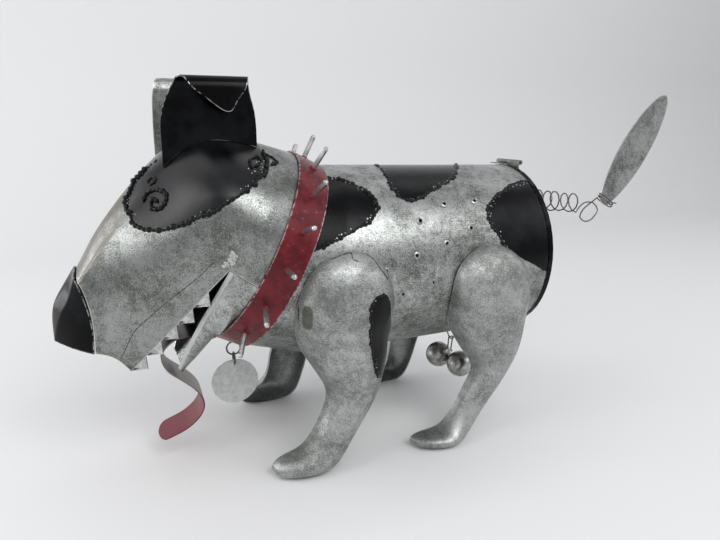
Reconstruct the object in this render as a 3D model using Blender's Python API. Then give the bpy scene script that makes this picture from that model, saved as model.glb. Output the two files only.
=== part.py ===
"""Dog welded from rolled, pressed and cut steel sheet.

The barrel body lies along X, the nose points to -X, the tail to +X and the dog's left side to -Y.
Positions along X are counted from the rear end of the barrel, forward negative.
Heights of the head, jaw, nose, tongue and ears are counted from the barrel's axis.
The finished dog is then set on the floor with its box centred on the origin.
Every length is in metres.
"""

import math

import bmesh
import bpy
from mathutils import Matrix, Vector
from mathutils.bvhtree import BVHTree

# Sheet, wire and fit
SHEET = 0.0012
FIT = 0.0003
SEAT = 0.0009

# Barrel
AXIS_HEIGHT = 0.169
REAR_RADIUS = 0.082
FRONT_RADIUS = 0.086
BARREL_TOP_LENGTH = 0.190
BARREL_BOTTOM_LENGTH = 0.214
BARREL_SIDES = 48

# Neck ring, where barrel and head meet under the collar
NECK_X = -0.2369
NECK_RISE = 0.0082
NECK_TILT = math.radians(27.6)
NECK_RADIUS = 0.0862
COLLAR_WIDTH = 0.0274
COLLAR_SHEET = 0.0014
COLLAR_SIDES = 48

# Spikes on the collar
SPIKE_COUNT = 13
SPIKE_PITCH = math.radians(23.2)
SPIKE_TOP_ANGLE = math.radians(88.0)
SPIKE_SET_OFF = (0.0, 0.0, 0.0, 0.0, 0.0, 0.0, 0.0, 3.0, 4.0, 2.5, 0.0, 0.0, 0.0)
SPIKE_RADIUS = 0.0023
SPIKE_LENGTH = 0.022

# Lid and its hinge
LID_DEPTH = 0.0058
LID_OVERHANG = 0.0004
KNUCKLE_RADIUS = 0.0024
HINGE_WIDTH = 0.038
LEAF_SHEET = 0.001
BODY_LEAF_LENGTH = 0.0095
LID_LEAF_LENGTH = 0.017
PIN_STICKS_OUT = 0.0008

# Head: top line and lip line in pairs from neck to nose, as (top x, top z, lip x, lip y, lip z)
SEAM_ANGLE = math.radians(-15.0)
HEAD_STATIONS = (
    (-0.2520, 0.1040, -0.2810, 0.0775, 0.0070),
    (-0.2900, 0.1120, -0.2900, 0.0700, 0.0130),
    (-0.3160, 0.1040, -0.3030, 0.0625, -0.0020),
    (-0.3340, 0.0890, -0.3160, 0.0560, -0.0170),
    (-0.3570, 0.0610, -0.3420, 0.0430, -0.0460),
    (-0.3810, 0.0300, -0.3670, 0.0300, -0.0740),
    (-0.3910, 0.0150, -0.3780, 0.0285, -0.0615),
    (-0.3995, 0.0035, -0.3920, 0.0275, -0.0560),
)
HEAD_BULGES = (0.017, 0.015, 0.0135, 0.012, 0.010, 0.008, 0.006, 0.004)
FOREHEAD_HALF_WIDTH = 0.025
SNOUT_END_CURVE = 0.004
HEAD_CROWNS = (0.002, 0.003, 0.0045, 0.0060, 0.0095, 0.0100, 0.0085, 0.0065)
HEAD_SIDE_STEPS = 9

# Lower jaw: (edge x, edge y, edge z, floor x, floor z) from mouth corner to tip
JAW_STATIONS = (
    (-0.3020, 0.0580, -0.0120, -0.3065, -0.0660),
    (-0.3150, 0.0420, -0.0400, -0.3130, -0.0755),
    (-0.3225, 0.0330, -0.0585, -0.3195, -0.0825),
    (-0.3300, 0.0240, -0.0790, -0.3255, -0.0885),
)
JAW_SIDE_STEPS = 7
MOUTH_GAP = 0.0005

# Teeth
TEETH_A_SIDE = 5
TOOTH_DEPTH = 0.0095
TOOTH_BAND = 0.004
TOOTH_LEAN = 0.75
TOOTH_INSET = 0.0027

# Nose cap: side ridge as (x, half width, z), then the middle of its front as (x, z),
# from the top edge down to the tip
NOSE_RIDGE = (
    (-0.4013, 0.0228, 0.0046, -0.4016, 0.0096),
    (-0.4062, 0.0188, -0.0107, -0.4128, -0.0080),
    (-0.4116, 0.0150, -0.0208, -0.4188, -0.0190),
    (-0.4172, 0.0100, -0.0330, -0.4214, -0.0320),
    (-0.4212, 0.0045, -0.0490, -0.4217, -0.0498),
)
NOSE_BULGE = 0.003
NOSE_SHOULDER = 0.35
NOSE_SHOULDER_LEAD = 0.76

# Tongue: strip 36 mm wide, its side line as (x, z)
TONGUE_WIDTH = 0.036
TONGUE_LINE = (
    (-0.3080, -0.0600),
    (-0.3180, -0.0560),
    (-0.3290, -0.0565),
    (-0.3385, -0.0630),
    (-0.3420, -0.0720),
    (-0.3375, -0.0835),
    (-0.3265, -0.0935),
    (-0.3150, -0.1050),
    (-0.3095, -0.1170),
    (-0.3115, -0.1265),
    (-0.3175, -0.1340),
    (-0.3270, -0.1407),
    (-0.3390, -0.1455),
)
TONGUE_TIP = 0.011

# Ears: rows as (front x, back x, z), then the rolled fold and the hanging flap
EAR_SPREAD = 0.032
EAR_FOLD_RADIUS = 0.0080
LEFT_EAR = {
    "rows": (
        (-0.3305, -0.2575, 0.1170),
        (-0.3285, -0.2585, 0.1310),
        (-0.3255, -0.2605, 0.1400),
        (-0.3215, -0.2620, 0.1475),
    ),
    "fold": ((-0.3185, -0.2630), (-0.3150, -0.2640), (-0.3115, -0.2655)),
    "flap": (
        (-0.3075, -0.2675, 0.1475),
        (-0.3000, -0.2715, 0.1420),
        (-0.2930, -0.2755, 0.1365),
        (-0.2850, -0.2790, 0.1310),
    ),
}
RIGHT_EAR = {
    "rows": (
        (-0.3325, -0.2605, 0.1170),
        (-0.3320, -0.2615, 0.1310),
        (-0.3315, -0.2625, 0.1420),
        (-0.3300, -0.2630, 0.1500),
    ),
    "fold": ((-0.3285, -0.2635), (-0.3260, -0.2645), (-0.3230, -0.2660)),
    "flap": (
        (-0.3190, -0.2680, 0.1500),
        (-0.3080, -0.2715, 0.1435),
        (-0.2970, -0.2755, 0.1370),
        (-0.2850, -0.2790, 0.1310),
    ),
}
EAR_COLUMNS = 6

# Legs: front edge and back edge in pairs from the shoulder down to the toe,
# as (x, share of the axis height), then the depth
LEG_SEAT = 0.0010
LEG_INSET = 0.0690
LEG_TOE_INSET = 0.0680
FRONT_LEG = (
    (-0.1970, 1.1361, -0.1970, 1.1361, 0.0000),
    (-0.2140, 1.1124, -0.1810, 1.1065, 0.0090),
    (-0.2300, 1.0473, -0.1680, 1.0414, 0.0160),
    (-0.2390, 0.9349, -0.1610, 0.9349, 0.0210),
    (-0.2410, 0.8166, -0.1590, 0.8166, 0.0260),
    (-0.2370, 0.6864, -0.1590, 0.6864, 0.0320),
    (-0.2270, 0.5740, -0.1610, 0.5740, 0.0310),
    (-0.2170, 0.4734, -0.1650, 0.4734, 0.0270),
    (-0.2130, 0.4024, -0.1690, 0.3905, 0.0240),
    (-0.2160, 0.3195, -0.1760, 0.3077, 0.0220),
    (-0.2220, 0.2426, -0.1840, 0.2249, 0.0200),
    (-0.2300, 0.1657, -0.1930, 0.1420, 0.0200),
    (-0.2390, 0.1183, -0.2030, 0.0592, 0.0220),
    (-0.2480, 0.0976, -0.2190, 0.0059, 0.0230),
    (-0.2575, 0.0740, -0.2500, 0.0000, 0.0160),
    (-0.2620, 0.0355, -0.2620, 0.0355, 0.0000),
)
REAR_LEG = (
    (-0.0660, 1.1124, -0.0660, 1.1124, 0.0000),
    (-0.0840, 1.0769, -0.0480, 1.0828, 0.0090),
    (-0.0970, 1.0000, -0.0330, 1.0178, 0.0160),
    (-0.1005, 0.9112, -0.0255, 0.9290, 0.0210),
    (-0.1000, 0.8047, -0.0205, 0.8166, 0.0260),
    (-0.0965, 0.6982, -0.0187, 0.6864, 0.0310),
    (-0.0885, 0.6036, -0.0222, 0.5740, 0.0300),
    (-0.0790, 0.5148, -0.0270, 0.4675, 0.0250),
    (-0.0690, 0.4260, -0.0360, 0.3669, 0.0200),
    (-0.0730, 0.3373, -0.0460, 0.2722, 0.0170),
    (-0.0820, 0.2426, -0.0560, 0.1893, 0.0150),
    (-0.0910, 0.1538, -0.0670, 0.1065, 0.0160),
    (-0.1010, 0.0888, -0.0790, 0.0355, 0.0200),
    (-0.1120, 0.0680, -0.0930, 0.0030, 0.0230),
    (-0.1260, 0.0562, -0.1190, 0.0000, 0.0160),
    (-0.1315, 0.0296, -0.1315, 0.0296, 0.0000),
)
RIGHT_FRONT_SHIFTS = (0.002, -0.014, -0.002)
RIGHT_REAR_SHIFTS = (0.008, -0.014, -0.008)
SHIFT_SHARES = (0.0, 0.325, 0.888)
LEG_ROUNDNESS = 1.05
FOOT_ROUNDNESS = 0.6
LEG_SIDE_STEPS = 6

# Tail
TAIL_WIRE_RADIUS = 0.00075
TAIL_RISE = 0.050
SPRING_RADIUS = 0.0100
SPRING_SWELL = 0.0009
SPRING_STRAY = 0.0022
SPRING_LENGTH = 0.094
SPRING_DROP = 0.012
SPRING_TURNS = 8
SPRING_STEPS = 11
TAIL_LOOP = (
    (0.0060, 0.0020, -0.0045),
    (0.0145, 0.0030, 0.0000),
    (0.0230, 0.0000, -0.0005),
    (0.0265, -0.0040, -0.0080),
    (0.0210, -0.0050, -0.0150),
    (0.0165, -0.0050, -0.0185),
    (0.0095, -0.0040, -0.0200),
    (0.0040, -0.0020, -0.0150),
    (0.0100, 0.0010, -0.0080),
    (0.0180, 0.0030, -0.0035),
)
WRAP_TURNS = 2.5
WRAP_START = 0.001
WRAP_PITCH = 0.0027
WRAP_HALF_WIDTH = 0.0118
WRAP_HALF_DEPTH = 0.0044
WRAP_END = 0.004
BLADE_BASE_X = 0.1386
BLADE_BASE_DROP = 0.0140
BLADE_ANGLE = math.radians(57.0)
BLADE_LENGTH = 0.140
BLADE_CUP = 0.0030
BLADE_HALF_WIDTHS = (
    (0.00, 0.0045),
    (0.05, 0.0090),
    (0.20, 0.0156),
    (0.40, 0.0196),
    (0.58, 0.0195),
    (0.76, 0.0166),
    (0.90, 0.0110),
    (0.97, 0.0062),
    (1.00, 0.0015),
)

# Name tag with its two rings
TAG_RADIUS = 0.0213
TAG_SHEET = 0.0012
TAG_HOLE_RADIUS = 0.0018
TAG_HOLE_INSET = 0.0036
TAG_WIRE_RADIUS = 0.0008
TAG_RING_RADIUS = 0.0062
TAG_LINK_RADIUS = 0.0056
TAG_RING_ALONG = -0.0018

# Balls under the belly
BALL_RADIUS = 0.0135
BALL_HOOK_X = -0.0515
BALL_HOOK_RADIUS = 0.0072
BALL_WIRE_RADIUS = 0.0007
BALL_WIRE_LEAN = math.radians(45)
BALL_WIRE_STRAIGHT = 0.003
BALL_CLOSENESS = 0.0005
FRONT_BALL_X = -0.0581
FRONT_BALL_Y = BALL_RADIUS - BALL_CLOSENESS
FRONT_BALL_DROP = 0.0369
REAR_BALL_X = -0.0473
REAR_BALL_Y = BALL_CLOSENESS - BALL_RADIUS
REAR_BALL_DROP = 0.0396


def material(name, colour, roughness, metallic):
    made = bpy.data.materials.new(name)
    made.use_nodes = True
    shader = made.node_tree.nodes["Principled BSDF"]
    shader.inputs["Base Color"].default_value = (*colour, 1.0)
    shader.inputs["Roughness"].default_value = roughness
    shader.inputs["Metallic"].default_value = metallic
    return made


def add_object(name, points, faces, surface, origin=(0.0, 0.0, 0.0), solid=True):
    """One named mesh object. The points are given in the dog's own frame."""
    origin = Vector(origin)
    mesh = bpy.data.meshes.new(name)
    mesh.from_pydata([Vector(point) - origin for point in points], [], faces)
    weld = bmesh.new()
    weld.from_mesh(mesh)
    bmesh.ops.remove_doubles(weld, verts=weld.verts, dist=1e-6)
    if solid:
        bmesh.ops.recalc_face_normals(weld, faces=weld.faces)
    weld.to_mesh(mesh)
    weld.free()
    made = bpy.data.objects.new(name, mesh)
    made.location = origin
    bpy.context.scene.collection.objects.link(made)
    mesh.materials.append(surface)
    mesh.shade_smooth()
    mesh.set_sharp_from_angle(angle=math.radians(35))
    return made


def grid_faces(rows, columns, closed=False, flip=False):
    faces = []
    last = columns if closed else columns - 1
    for row in range(rows - 1):
        for column in range(last):
            a = row * columns + column
            b = row * columns + (column + 1) % columns
            face = (a, b, b + columns, a + columns)
            faces.append(face[::-1] if flip else face)
    return faces


def sheet(name, rows, surface, thickness=SHEET, closed=False, flip=False, origin=(0.0, 0.0, 0.0)):
    """A sheet bent over a grid of points, its thickness laid behind the faces."""
    points = [point for row in rows for point in row]
    faces = grid_faces(len(rows), len(rows[0]), closed, flip)
    made = add_object(name, points, faces, surface, origin, solid=False)
    wall = made.modifiers.new("wall", "SOLIDIFY")
    wall.thickness = thickness
    wall.offset = -1.0
    wall.use_quality_normals = True
    return made


def tube_along(path, radius, sides, closed=False):
    """Points and faces of a round wire run along a path of points."""
    count = len(path)
    points = []
    faces = []
    normal = None
    for index, here in enumerate(path):
        before = path[index - 1] if closed or index else here
        after = path[(index + 1) % count] if closed or index < count - 1 else here
        along = (after - before).normalized()
        if normal is None:
            helper = Vector((0.0, 1.0, 0.0)) if abs(along.y) < 0.8 else Vector((1.0, 0.0, 0.0))
            normal = along.cross(helper).normalized()
        normal = (normal - along * normal.dot(along)).normalized()
        side = along.cross(normal)
        for step in range(sides):
            angle = math.tau * step / sides
            points.append(here + radius * (math.cos(angle) * normal + math.sin(angle) * side))
    for index in range(count if closed else count - 1):
        for step in range(sides):
            a = index * sides + step
            b = index * sides + (step + 1) % sides
            c = (index + 1) % count * sides + (step + 1) % sides
            d = (index + 1) % count * sides + step
            faces.append((a, b, c, d))
    if not closed:
        faces.append(tuple(reversed(range(sides))))
        faces.append(tuple(range((count - 1) * sides, count * sides)))
    return points, faces


def wire(name, path, radius, surface, sides=6, closed=False, origin=(0.0, 0.0, 0.0)):
    points, faces = tube_along(path, radius, sides, closed)
    return add_object(name, points, faces, surface, origin)


def spline(points, steps):
    """Points on a smooth curve through the given ones."""
    ends = [points[0] * 2 - points[1], *points, points[-1] * 2 - points[-2]]
    curve = []
    for index in range(len(points) - 1):
        p0, p1, p2, p3 = ends[index : index + 4]
        for step in range(steps):
            t = step / steps
            curve.append(
                0.5
                * (
                    2 * p1
                    + (p2 - p0) * t
                    + (2 * p0 - 5 * p1 + 4 * p2 - p3) * t**2
                    + (3 * p1 - p0 - 3 * p2 + p3) * t**3
                )
            )
    curve.append(points[-1])
    return curve


def neck_axis():
    return Vector((-math.cos(NECK_TILT), 0.0, math.sin(NECK_TILT)))


def neck_up():
    return Vector((math.sin(NECK_TILT), 0.0, math.cos(NECK_TILT)))


def neck_point(angle, radius, along):
    """A point round the neck: angle 0 is the right side, 90 degrees the top."""
    centre = Vector((NECK_X, 0.0, AXIS_HEIGHT + NECK_RISE)) + neck_axis() * along
    return centre + radius * (math.sin(angle) * neck_up() + math.cos(angle) * Vector((0.0, 1.0, 0.0)))


def barrel_radius(x):
    return REAR_RADIUS + (FRONT_RADIUS - REAR_RADIUS) * min(-x / BARREL_TOP_LENGTH, 1.0)


def barrel_ring(angle, top_x, bottom_x):
    share = 0.5 - 0.5 * math.sin(angle)
    x = top_x + (bottom_x - top_x) * share
    radius = barrel_radius(x)
    return Vector((x, radius * math.cos(angle), AXIS_HEIGHT + radius * math.sin(angle)))


def barrel_rows():
    angles = [math.tau * step / BARREL_SIDES for step in range(BARREL_SIDES)]
    rows = [[barrel_ring(angle, 0.0, 0.0) for angle in angles]]
    rows.append([barrel_ring(angle, -BARREL_TOP_LENGTH / 2, -BARREL_BOTTOM_LENGTH / 2) for angle in angles])
    rows.append([barrel_ring(angle, -BARREL_TOP_LENGTH, -BARREL_BOTTOM_LENGTH) for angle in angles])
    rows.append([neck_point(angle, NECK_RADIUS, -FIT) for angle in angles])
    rows.append([neck_point(angle, NECK_RADIUS, COLLAR_WIDTH / 2 - FIT) for angle in angles])
    return rows


def barrel(surface):
    return sheet("body_barrel", barrel_rows(), surface, closed=True, flip=True)


def collar(surface):
    inner = NECK_RADIUS + FIT
    outer = inner + COLLAR_SHEET
    points = []
    for step in range(COLLAR_SIDES):
        angle = math.tau * step / COLLAR_SIDES
        for radius, along in ((inner, 0.0), (outer, 0.0), (outer, COLLAR_WIDTH), (inner, COLLAR_WIDTH)):
            points.append(neck_point(angle, radius, along))
    faces = []
    for step in range(COLLAR_SIDES):
        a = step * 4
        b = (step + 1) % COLLAR_SIDES * 4
        for corner in range(4):
            following = (corner + 1) % 4
            faces.append((a + corner, b + corner, b + following, a + following))
    return add_object("collar", points, faces, surface)


def spikes(surface):
    base = NECK_RADIUS + FIT + COLLAR_SHEET + FIT
    middle = SPIKE_COUNT // 2
    for index in range(SPIKE_COUNT):
        angle = SPIKE_TOP_ANGLE + (index - middle) * SPIKE_PITCH + math.radians(SPIKE_SET_OFF[index])
        outward = neck_point(angle, 1.0, 0.0) - neck_point(angle, 0.0, 0.0)
        root = neck_point(angle, base, COLLAR_WIDTH / 2)
        aside = outward.cross(neck_axis())
        profile = ((1.0, 0.0), (1.0, SPIKE_LENGTH - SPIKE_RADIUS), (0.7, SPIKE_LENGTH - 0.3 * SPIKE_RADIUS))
        sides = 8
        points = []
        for share, height in profile:
            for step in range(sides):
                turn = math.tau * step / sides
                ring = math.cos(turn) * neck_axis() + math.sin(turn) * aside
                points.append(root + outward * height + ring * SPIKE_RADIUS * share)
        points.append(root + outward * SPIKE_LENGTH)
        faces = grid_faces(len(profile), sides, closed=True, flip=True)
        faces.append(tuple(range(sides)))
        start = (len(profile) - 1) * sides
        for step in range(sides):
            faces.append((start + (step + 1) % sides, start + step, len(points) - 1))
        add_object(f"collar_spike_{index + 1:02d}", points, faces, surface)


def neck_half_section(along, radius):
    """Centre of the top, forehead edge, then down the side to the seam, on the round neck."""
    edge = math.acos(min(FOREHEAD_HALF_WIDTH / radius, 1.0))
    angles = [math.pi / 2, (math.pi / 2 + edge) / 2, edge]
    for step in range(1, HEAD_SIDE_STEPS + 1):
        angles.append(edge + (SEAM_ANGLE - edge) * step / HEAD_SIDE_STEPS)
    return [neck_point(angle, radius, along) for angle in angles]


def snout_half_section(station, bulge, rise_of_crown):
    top_x, top_z, lip_x, lip_y, lip_z = station
    top = Vector((top_x, 0.0, AXIS_HEIGHT + top_z))
    lip = Vector((lip_x, 0.0, AXIS_HEIGHT + lip_z))
    crown = (top - lip).normalized() * rise_of_crown
    half_way = top + crown * 0.75 + Vector((0.0, FOREHEAD_HALF_WIDTH / 2, 0.0))
    section = [top + crown, half_way, top + Vector((0.0, FOREHEAD_HALF_WIDTH, 0.0))]
    for step in range(1, HEAD_SIDE_STEPS + 1):
        share = step / HEAD_SIDE_STEPS
        rise = math.sin(share * math.pi / 2)
        width = FOREHEAD_HALF_WIDTH + (lip_y - FOREHEAD_HALF_WIDTH) * rise
        width += bulge * math.sin(share * math.pi)
        drop = share**1.25
        point = top + (lip - top) * drop
        section.append(Vector((point.x, width, point.z)))
    return section


def mirrored(point):
    return Vector((point.x, -point.y, point.z))


def whole_section(half):
    """The section from the left lip over the top to the right lip."""
    return [mirrored(point) for point in reversed(half[1:])] + half


def head_rows():
    last = len(HEAD_STATIONS) - 1
    halves = [
        neck_half_section(COLLAR_WIDTH / 2 + FIT, NECK_RADIUS),
        neck_half_section(COLLAR_WIDTH + FIT, NECK_RADIUS - FIT),
    ]
    for index, station in enumerate(HEAD_STATIONS):
        half = snout_half_section(station, HEAD_BULGES[index], HEAD_CROWNS[index])
        if index == last:
            for step in range(1, HEAD_SIDE_STEPS + 1):
                half[step + 2].x += SNOUT_END_CURVE * math.sin(math.pi * step / HEAD_SIDE_STEPS)
        halves.append(half)
    return [whole_section(half) for half in halves]


def head(surface):
    return sheet("head_shell", head_rows(), surface)


def jaw_neck_row(along, radius):
    seam = SEAM_ANGLE - MOUTH_GAP / radius
    count = 2 * JAW_SIDE_STEPS
    right = seam
    left = math.pi - seam
    row = []
    for step in range(count + 1):
        angle = right + (left - math.tau - right) * step / count
        row.append(neck_point(angle, radius, along))
    return row


def jaw_row(station):
    edge_x, edge_y, edge_z, floor_x, floor_z = station
    count = 2 * JAW_SIDE_STEPS
    row = []
    for step in range(count + 1):
        angle = math.pi * step / count
        share = math.sin(angle) ** 0.85
        row.append(
            Vector(
                (
                    edge_x + (floor_x - edge_x) * share,
                    edge_y * math.cos(angle),
                    AXIS_HEIGHT + edge_z + (floor_z - edge_z) * share,
                )
            )
        )
    return row


def jaw_rows():
    lip_x, lip_y, lip_z = HEAD_STATIONS[1][2:]
    back_x, back_y, back_z = HEAD_STATIONS[0][2:]
    rows = [
        jaw_neck_row(COLLAR_WIDTH / 2 + FIT, NECK_RADIUS),
        jaw_neck_row(COLLAR_WIDTH + FIT, NECK_RADIUS - FIT),
    ]
    neck_floor = rows[1][JAW_SIDE_STEPS] - Vector((0.0, 0.0, AXIS_HEIGHT))
    first = JAW_STATIONS[0]
    for share, x, y, z in ((0.35, back_x, back_y, back_z), (0.65, lip_x, lip_y, lip_z)):
        floor_x = neck_floor.x + (first[3] - neck_floor.x) * share
        floor_z = neck_floor.z + (first[4] - neck_floor.z) * share
        rows.append(jaw_row((x, y, z - MOUTH_GAP, floor_x, floor_z)))
    return rows + [jaw_row(station) for station in JAW_STATIONS]


def lower_jaw(surface):
    return sheet("lower_jaw", jaw_rows(), surface)


def teeth(name, side, surface):
    """A strip of pointed teeth behind the lip, from near the mouth corner to the front."""
    tops = [Vector((x, y - TOOTH_INSET, AXIS_HEIGHT + z)) for _, _, x, y, z in HEAD_STATIONS[1:6]]
    lengths = [0.0]
    for first, second in zip(tops, tops[1:]):
        lengths.append(lengths[-1] + (second - first).length)

    def at(distance):
        for index in range(1, len(tops)):
            if distance <= lengths[index] + 1e-9:
                share = (distance - lengths[index - 1]) / (lengths[index] - lengths[index - 1])
                return tops[index - 1].lerp(tops[index], share)
        return tops[-1]

    start = 0.20 * lengths[-1]
    pitch = (lengths[-1] - start) / TEETH_A_SIDE
    along = (tops[-1] - tops[0]).normalized()
    down = Vector((-along.z, 0.0, along.x)).normalized()
    if down.x < 0:
        down = -down
    lower = []
    for step in range(TEETH_A_SIDE):
        lower.append(at(start + pitch * step))
        lower.append(at(start + pitch * (step + 0.5)) + down * TOOTH_DEPTH)
    lower.append(at(start + pitch * TEETH_A_SIDE))
    upper = []
    rise = down * TOOTH_BAND + Vector((0.0, TOOTH_BAND * TOOTH_LEAN, 0.0))
    for step in range(2 * TEETH_A_SIDE + 1):
        upper.append(at(start + pitch * step / 2) - rise)
    rows = [[Vector((p.x, side * p.y, p.z)) for p in row] for row in (upper, lower)]
    return sheet(name, rows, surface, flip=side < 0)


def nose(surface):
    """Folded cap that closes the end of the snout, with a ridge down each side of its front."""
    top_x, top_z, lip_x, lip_y, lip_z = HEAD_STATIONS[-1]
    clear = FIT + SHEET * 0.2
    rows = []
    steps = len(NOSE_RIDGE)
    for index, (ridge_x, ridge_y, ridge_z, front_x, front_z) in enumerate(NOSE_RIDGE):
        share = index / (steps - 1)
        curve = math.sin(math.pi * share)
        seam = Vector(
            (
                top_x + (lip_x - top_x) * share - clear + SNOUT_END_CURVE * curve,
                FOREHEAD_HALF_WIDTH + (lip_y - FOREHEAD_HALF_WIDTH) * share + NOSE_BULGE * curve,
                AXIS_HEIGHT + top_z + (lip_z - top_z) * share,
            )
        )
        ridge = Vector((ridge_x, ridge_y, AXIS_HEIGHT + ridge_z))
        middle = (seam + ridge) / 2 + Vector((0.0, NOSE_BULGE * share, 0.0))
        front = Vector((front_x, 0.0, AXIS_HEIGHT + front_z))
        shoulder = ridge.lerp(front, NOSE_SHOULDER_LEAD)
        shoulder.y = ridge_y * NOSE_SHOULDER
        half = [front, shoulder, ridge, middle, seam]
        rows.append([mirrored(point) for point in reversed(half[1:])] + half)
    return sheet("nose", rows, surface, flip=True)


def tongue(surface):
    line = spline([Vector((x, 0.0, AXIS_HEIGHT + z)) for x, z in TONGUE_LINE], 2)
    half = TONGUE_WIDTH / 2
    across = (-1.0, 0.0, 1.0)
    rows = []
    for point in line:
        rows.append([Vector((point.x, y * half, point.z)) for y in across])
    along = (line[-1] - line[-2]).normalized()
    for share in (0.5, 0.85, 1.0):
        width = half * math.sqrt(max(1.0 - share**2, 0.0)) + 0.0015
        centre = line[-1] + along * TONGUE_TIP * share
        rows.append([Vector((centre.x, y * width, centre.z)) for y in across])
    return sheet("tongue", rows, surface, flip=True)


def ear(name, side, shape, head_tree, surface):
    """One ear: it stands on the head, rolls outward at the top and hangs as a pointed flap."""
    spread = EAR_SPREAD * side
    down = Vector((0.0, 0.0, -1.0))

    def row(front_x, back_x, y, z):
        steps = range(EAR_COLUMNS + 1)
        return [Vector((front_x + (back_x - front_x) * step / EAR_COLUMNS, y, z)) for step in steps]

    base = row(shape["rows"][0][0], shape["rows"][0][1], spread, 1.0)
    for point in base:
        outer = head_tree.ray_cast(point, down)[0].z
        inner = head_tree.ray_cast(point - Vector((0.0, side * 2 * SHEET, 0.0)), down)[0].z
        point.z = max(outer, inner) + SEAT
    rows = [base]
    for front_x, back_x, z in shape["rows"]:
        rows.append(row(front_x, back_x, spread, AXIS_HEIGHT + z))
    fold_z = AXIS_HEIGHT + shape["rows"][-1][2]
    for step, (front_x, back_x) in enumerate(shape["fold"]):
        angle = math.pi * (step + 1) / (len(shape["fold"]) + 1)
        y = spread + side * EAR_FOLD_RADIUS * (1 - math.cos(angle))
        rows.append(row(front_x, back_x, y, fold_z + EAR_FOLD_RADIUS * math.sin(angle)))
    for front_x, back_x, z in shape["flap"]:
        rows.append(row(front_x, back_x, spread + side * 2 * EAR_FOLD_RADIUS, AXIS_HEIGHT + z))
    return sheet(name, rows, surface, flip=side > 0)


def leg_rim_y(barrel_tree, x, z, share):
    """Distance of the leg's rim from the middle plane: on the barrel above, straight below."""
    plane = LEG_INSET + (LEG_TOE_INSET - LEG_INSET) * share
    hit = barrel_tree.ray_cast(Vector((x, 1.0, z)), Vector((0.0, -1.0, 0.0)))[0]
    return plane if hit is None else max(plane, hit.y + LEG_SEAT)


def leg_shift(shifts, z):
    """How far a leg is set forward or back at this height."""
    low, middle, high = (share * AXIS_HEIGHT for share in SHIFT_SHARES)
    if z < middle:
        return shifts[0] + (shifts[1] - shifts[0]) * (z - low) / (middle - low)
    share = min((z - middle) / (high - middle), 1.0)
    return shifts[1] + (shifts[2] - shifts[1]) * share


def leg(name, outline, side, shifts, barrel_tree, surface):
    rows = []
    last = len(outline) - 1
    for index, (front_x, front_z, back_x, back_z, depth) in enumerate(outline):
        row = []
        for step in range(LEG_SIDE_STEPS + 1):
            angle = math.pi * step / LEG_SIDE_STEPS
            share = (1 - math.cos(angle)) / 2
            x = front_x + (back_x - front_x) * share
            z = (front_z + (back_z - front_z) * share) * AXIS_HEIGHT
            x += leg_shift(shifts, z)
            rim = leg_rim_y(barrel_tree, x, z, index / last)
            roundness = LEG_ROUNDNESS + (FOOT_ROUNDNESS - LEG_ROUNDNESS) * (index / last) ** 3
            out = depth * math.sin(angle) ** roundness
            row.append(Vector((x, side * (rim + out), z)))
        rows.append(row)
    return sheet(name, rows, surface, flip=side > 0)


def lid(surface, origin):
    """Shallow pan: a flat end with a short flange that meets the barrel's rim."""
    outer = REAR_RADIUS + LID_OVERHANG
    inner = outer - SHEET
    profile = (
        (LID_DEPTH - SHEET, inner),
        (FIT, inner),
        (FIT, outer),
        (LID_DEPTH - SHEET, outer),
        (LID_DEPTH, inner),
    )
    points = []
    for x, radius in profile:
        for step in range(BARREL_SIDES):
            angle = math.tau * step / BARREL_SIDES
            points.append((x, radius * math.cos(angle), AXIS_HEIGHT + radius * math.sin(angle)))
    faces = grid_faces(len(profile), BARREL_SIDES, closed=True)
    faces.append(tuple(range(BARREL_SIDES)))
    faces.append(tuple(range(len(points) - BARREL_SIDES, len(points))))
    return add_object("rear_lid", points, faces, surface, origin)


def hinge_centre():
    return Vector(
        (
            LID_DEPTH + FIT + KNUCKLE_RADIUS,
            0.0,
            AXIS_HEIGHT + REAR_RADIUS + LID_OVERHANG + FIT + KNUCKLE_RADIUS,
        )
    )


def hinge_leaf(name, start_y, end_y, turn, length, surface, origin):
    """A rolled knuckle with its flat leaf; turn 0 lays the leaf to the front, 90 degrees hangs it down."""
    centre = hinge_centre()
    arc = [math.radians(-90 + 295 * step / 12) for step in range(13)]
    inner = KNUCKLE_RADIUS - LEAF_SHEET
    outline = [(-length, -KNUCKLE_RADIUS)]
    outline += [(KNUCKLE_RADIUS * math.cos(angle), KNUCKLE_RADIUS * math.sin(angle)) for angle in arc]
    outline += [(inner * math.cos(angle), inner * math.sin(angle)) for angle in reversed(arc)]
    outline.append((-length, -inner))
    count = len(outline)
    points = []
    for y in (start_y, end_y):
        for across, up in outline:
            x = across * math.cos(turn) + up * math.sin(turn)
            z = across * math.sin(turn) + up * math.cos(turn)
            points.append((centre.x + x, y, centre.z + z))
    faces = [tuple(range(count)), tuple(reversed(range(count, 2 * count)))]
    for step in range(count):
        following = (step + 1) % count
        faces.append((step, step + count, following + count, following))
    return add_object(name, points, faces, surface, origin)


def hinge(light, dark, steel, lid_origin):
    half = HINGE_WIDTH / 2
    hinge_leaf("hinge_leaf_body", FIT / 2, half, 0.0, BODY_LEAF_LENGTH, light, (0.0, 0.0, 0.0))
    hinge_leaf("hinge_leaf_lid", -half, -FIT / 2, math.pi / 2, LID_LEAF_LENGTH, dark, lid_origin)
    reach = half + PIN_STICKS_OUT
    path = [hinge_centre() + Vector((0.0, y, 0.0)) for y in (-reach, reach)]
    wire("hinge_pin", path, KNUCKLE_RADIUS - LEAF_SHEET - FIT, steel, sides=10)


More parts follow.
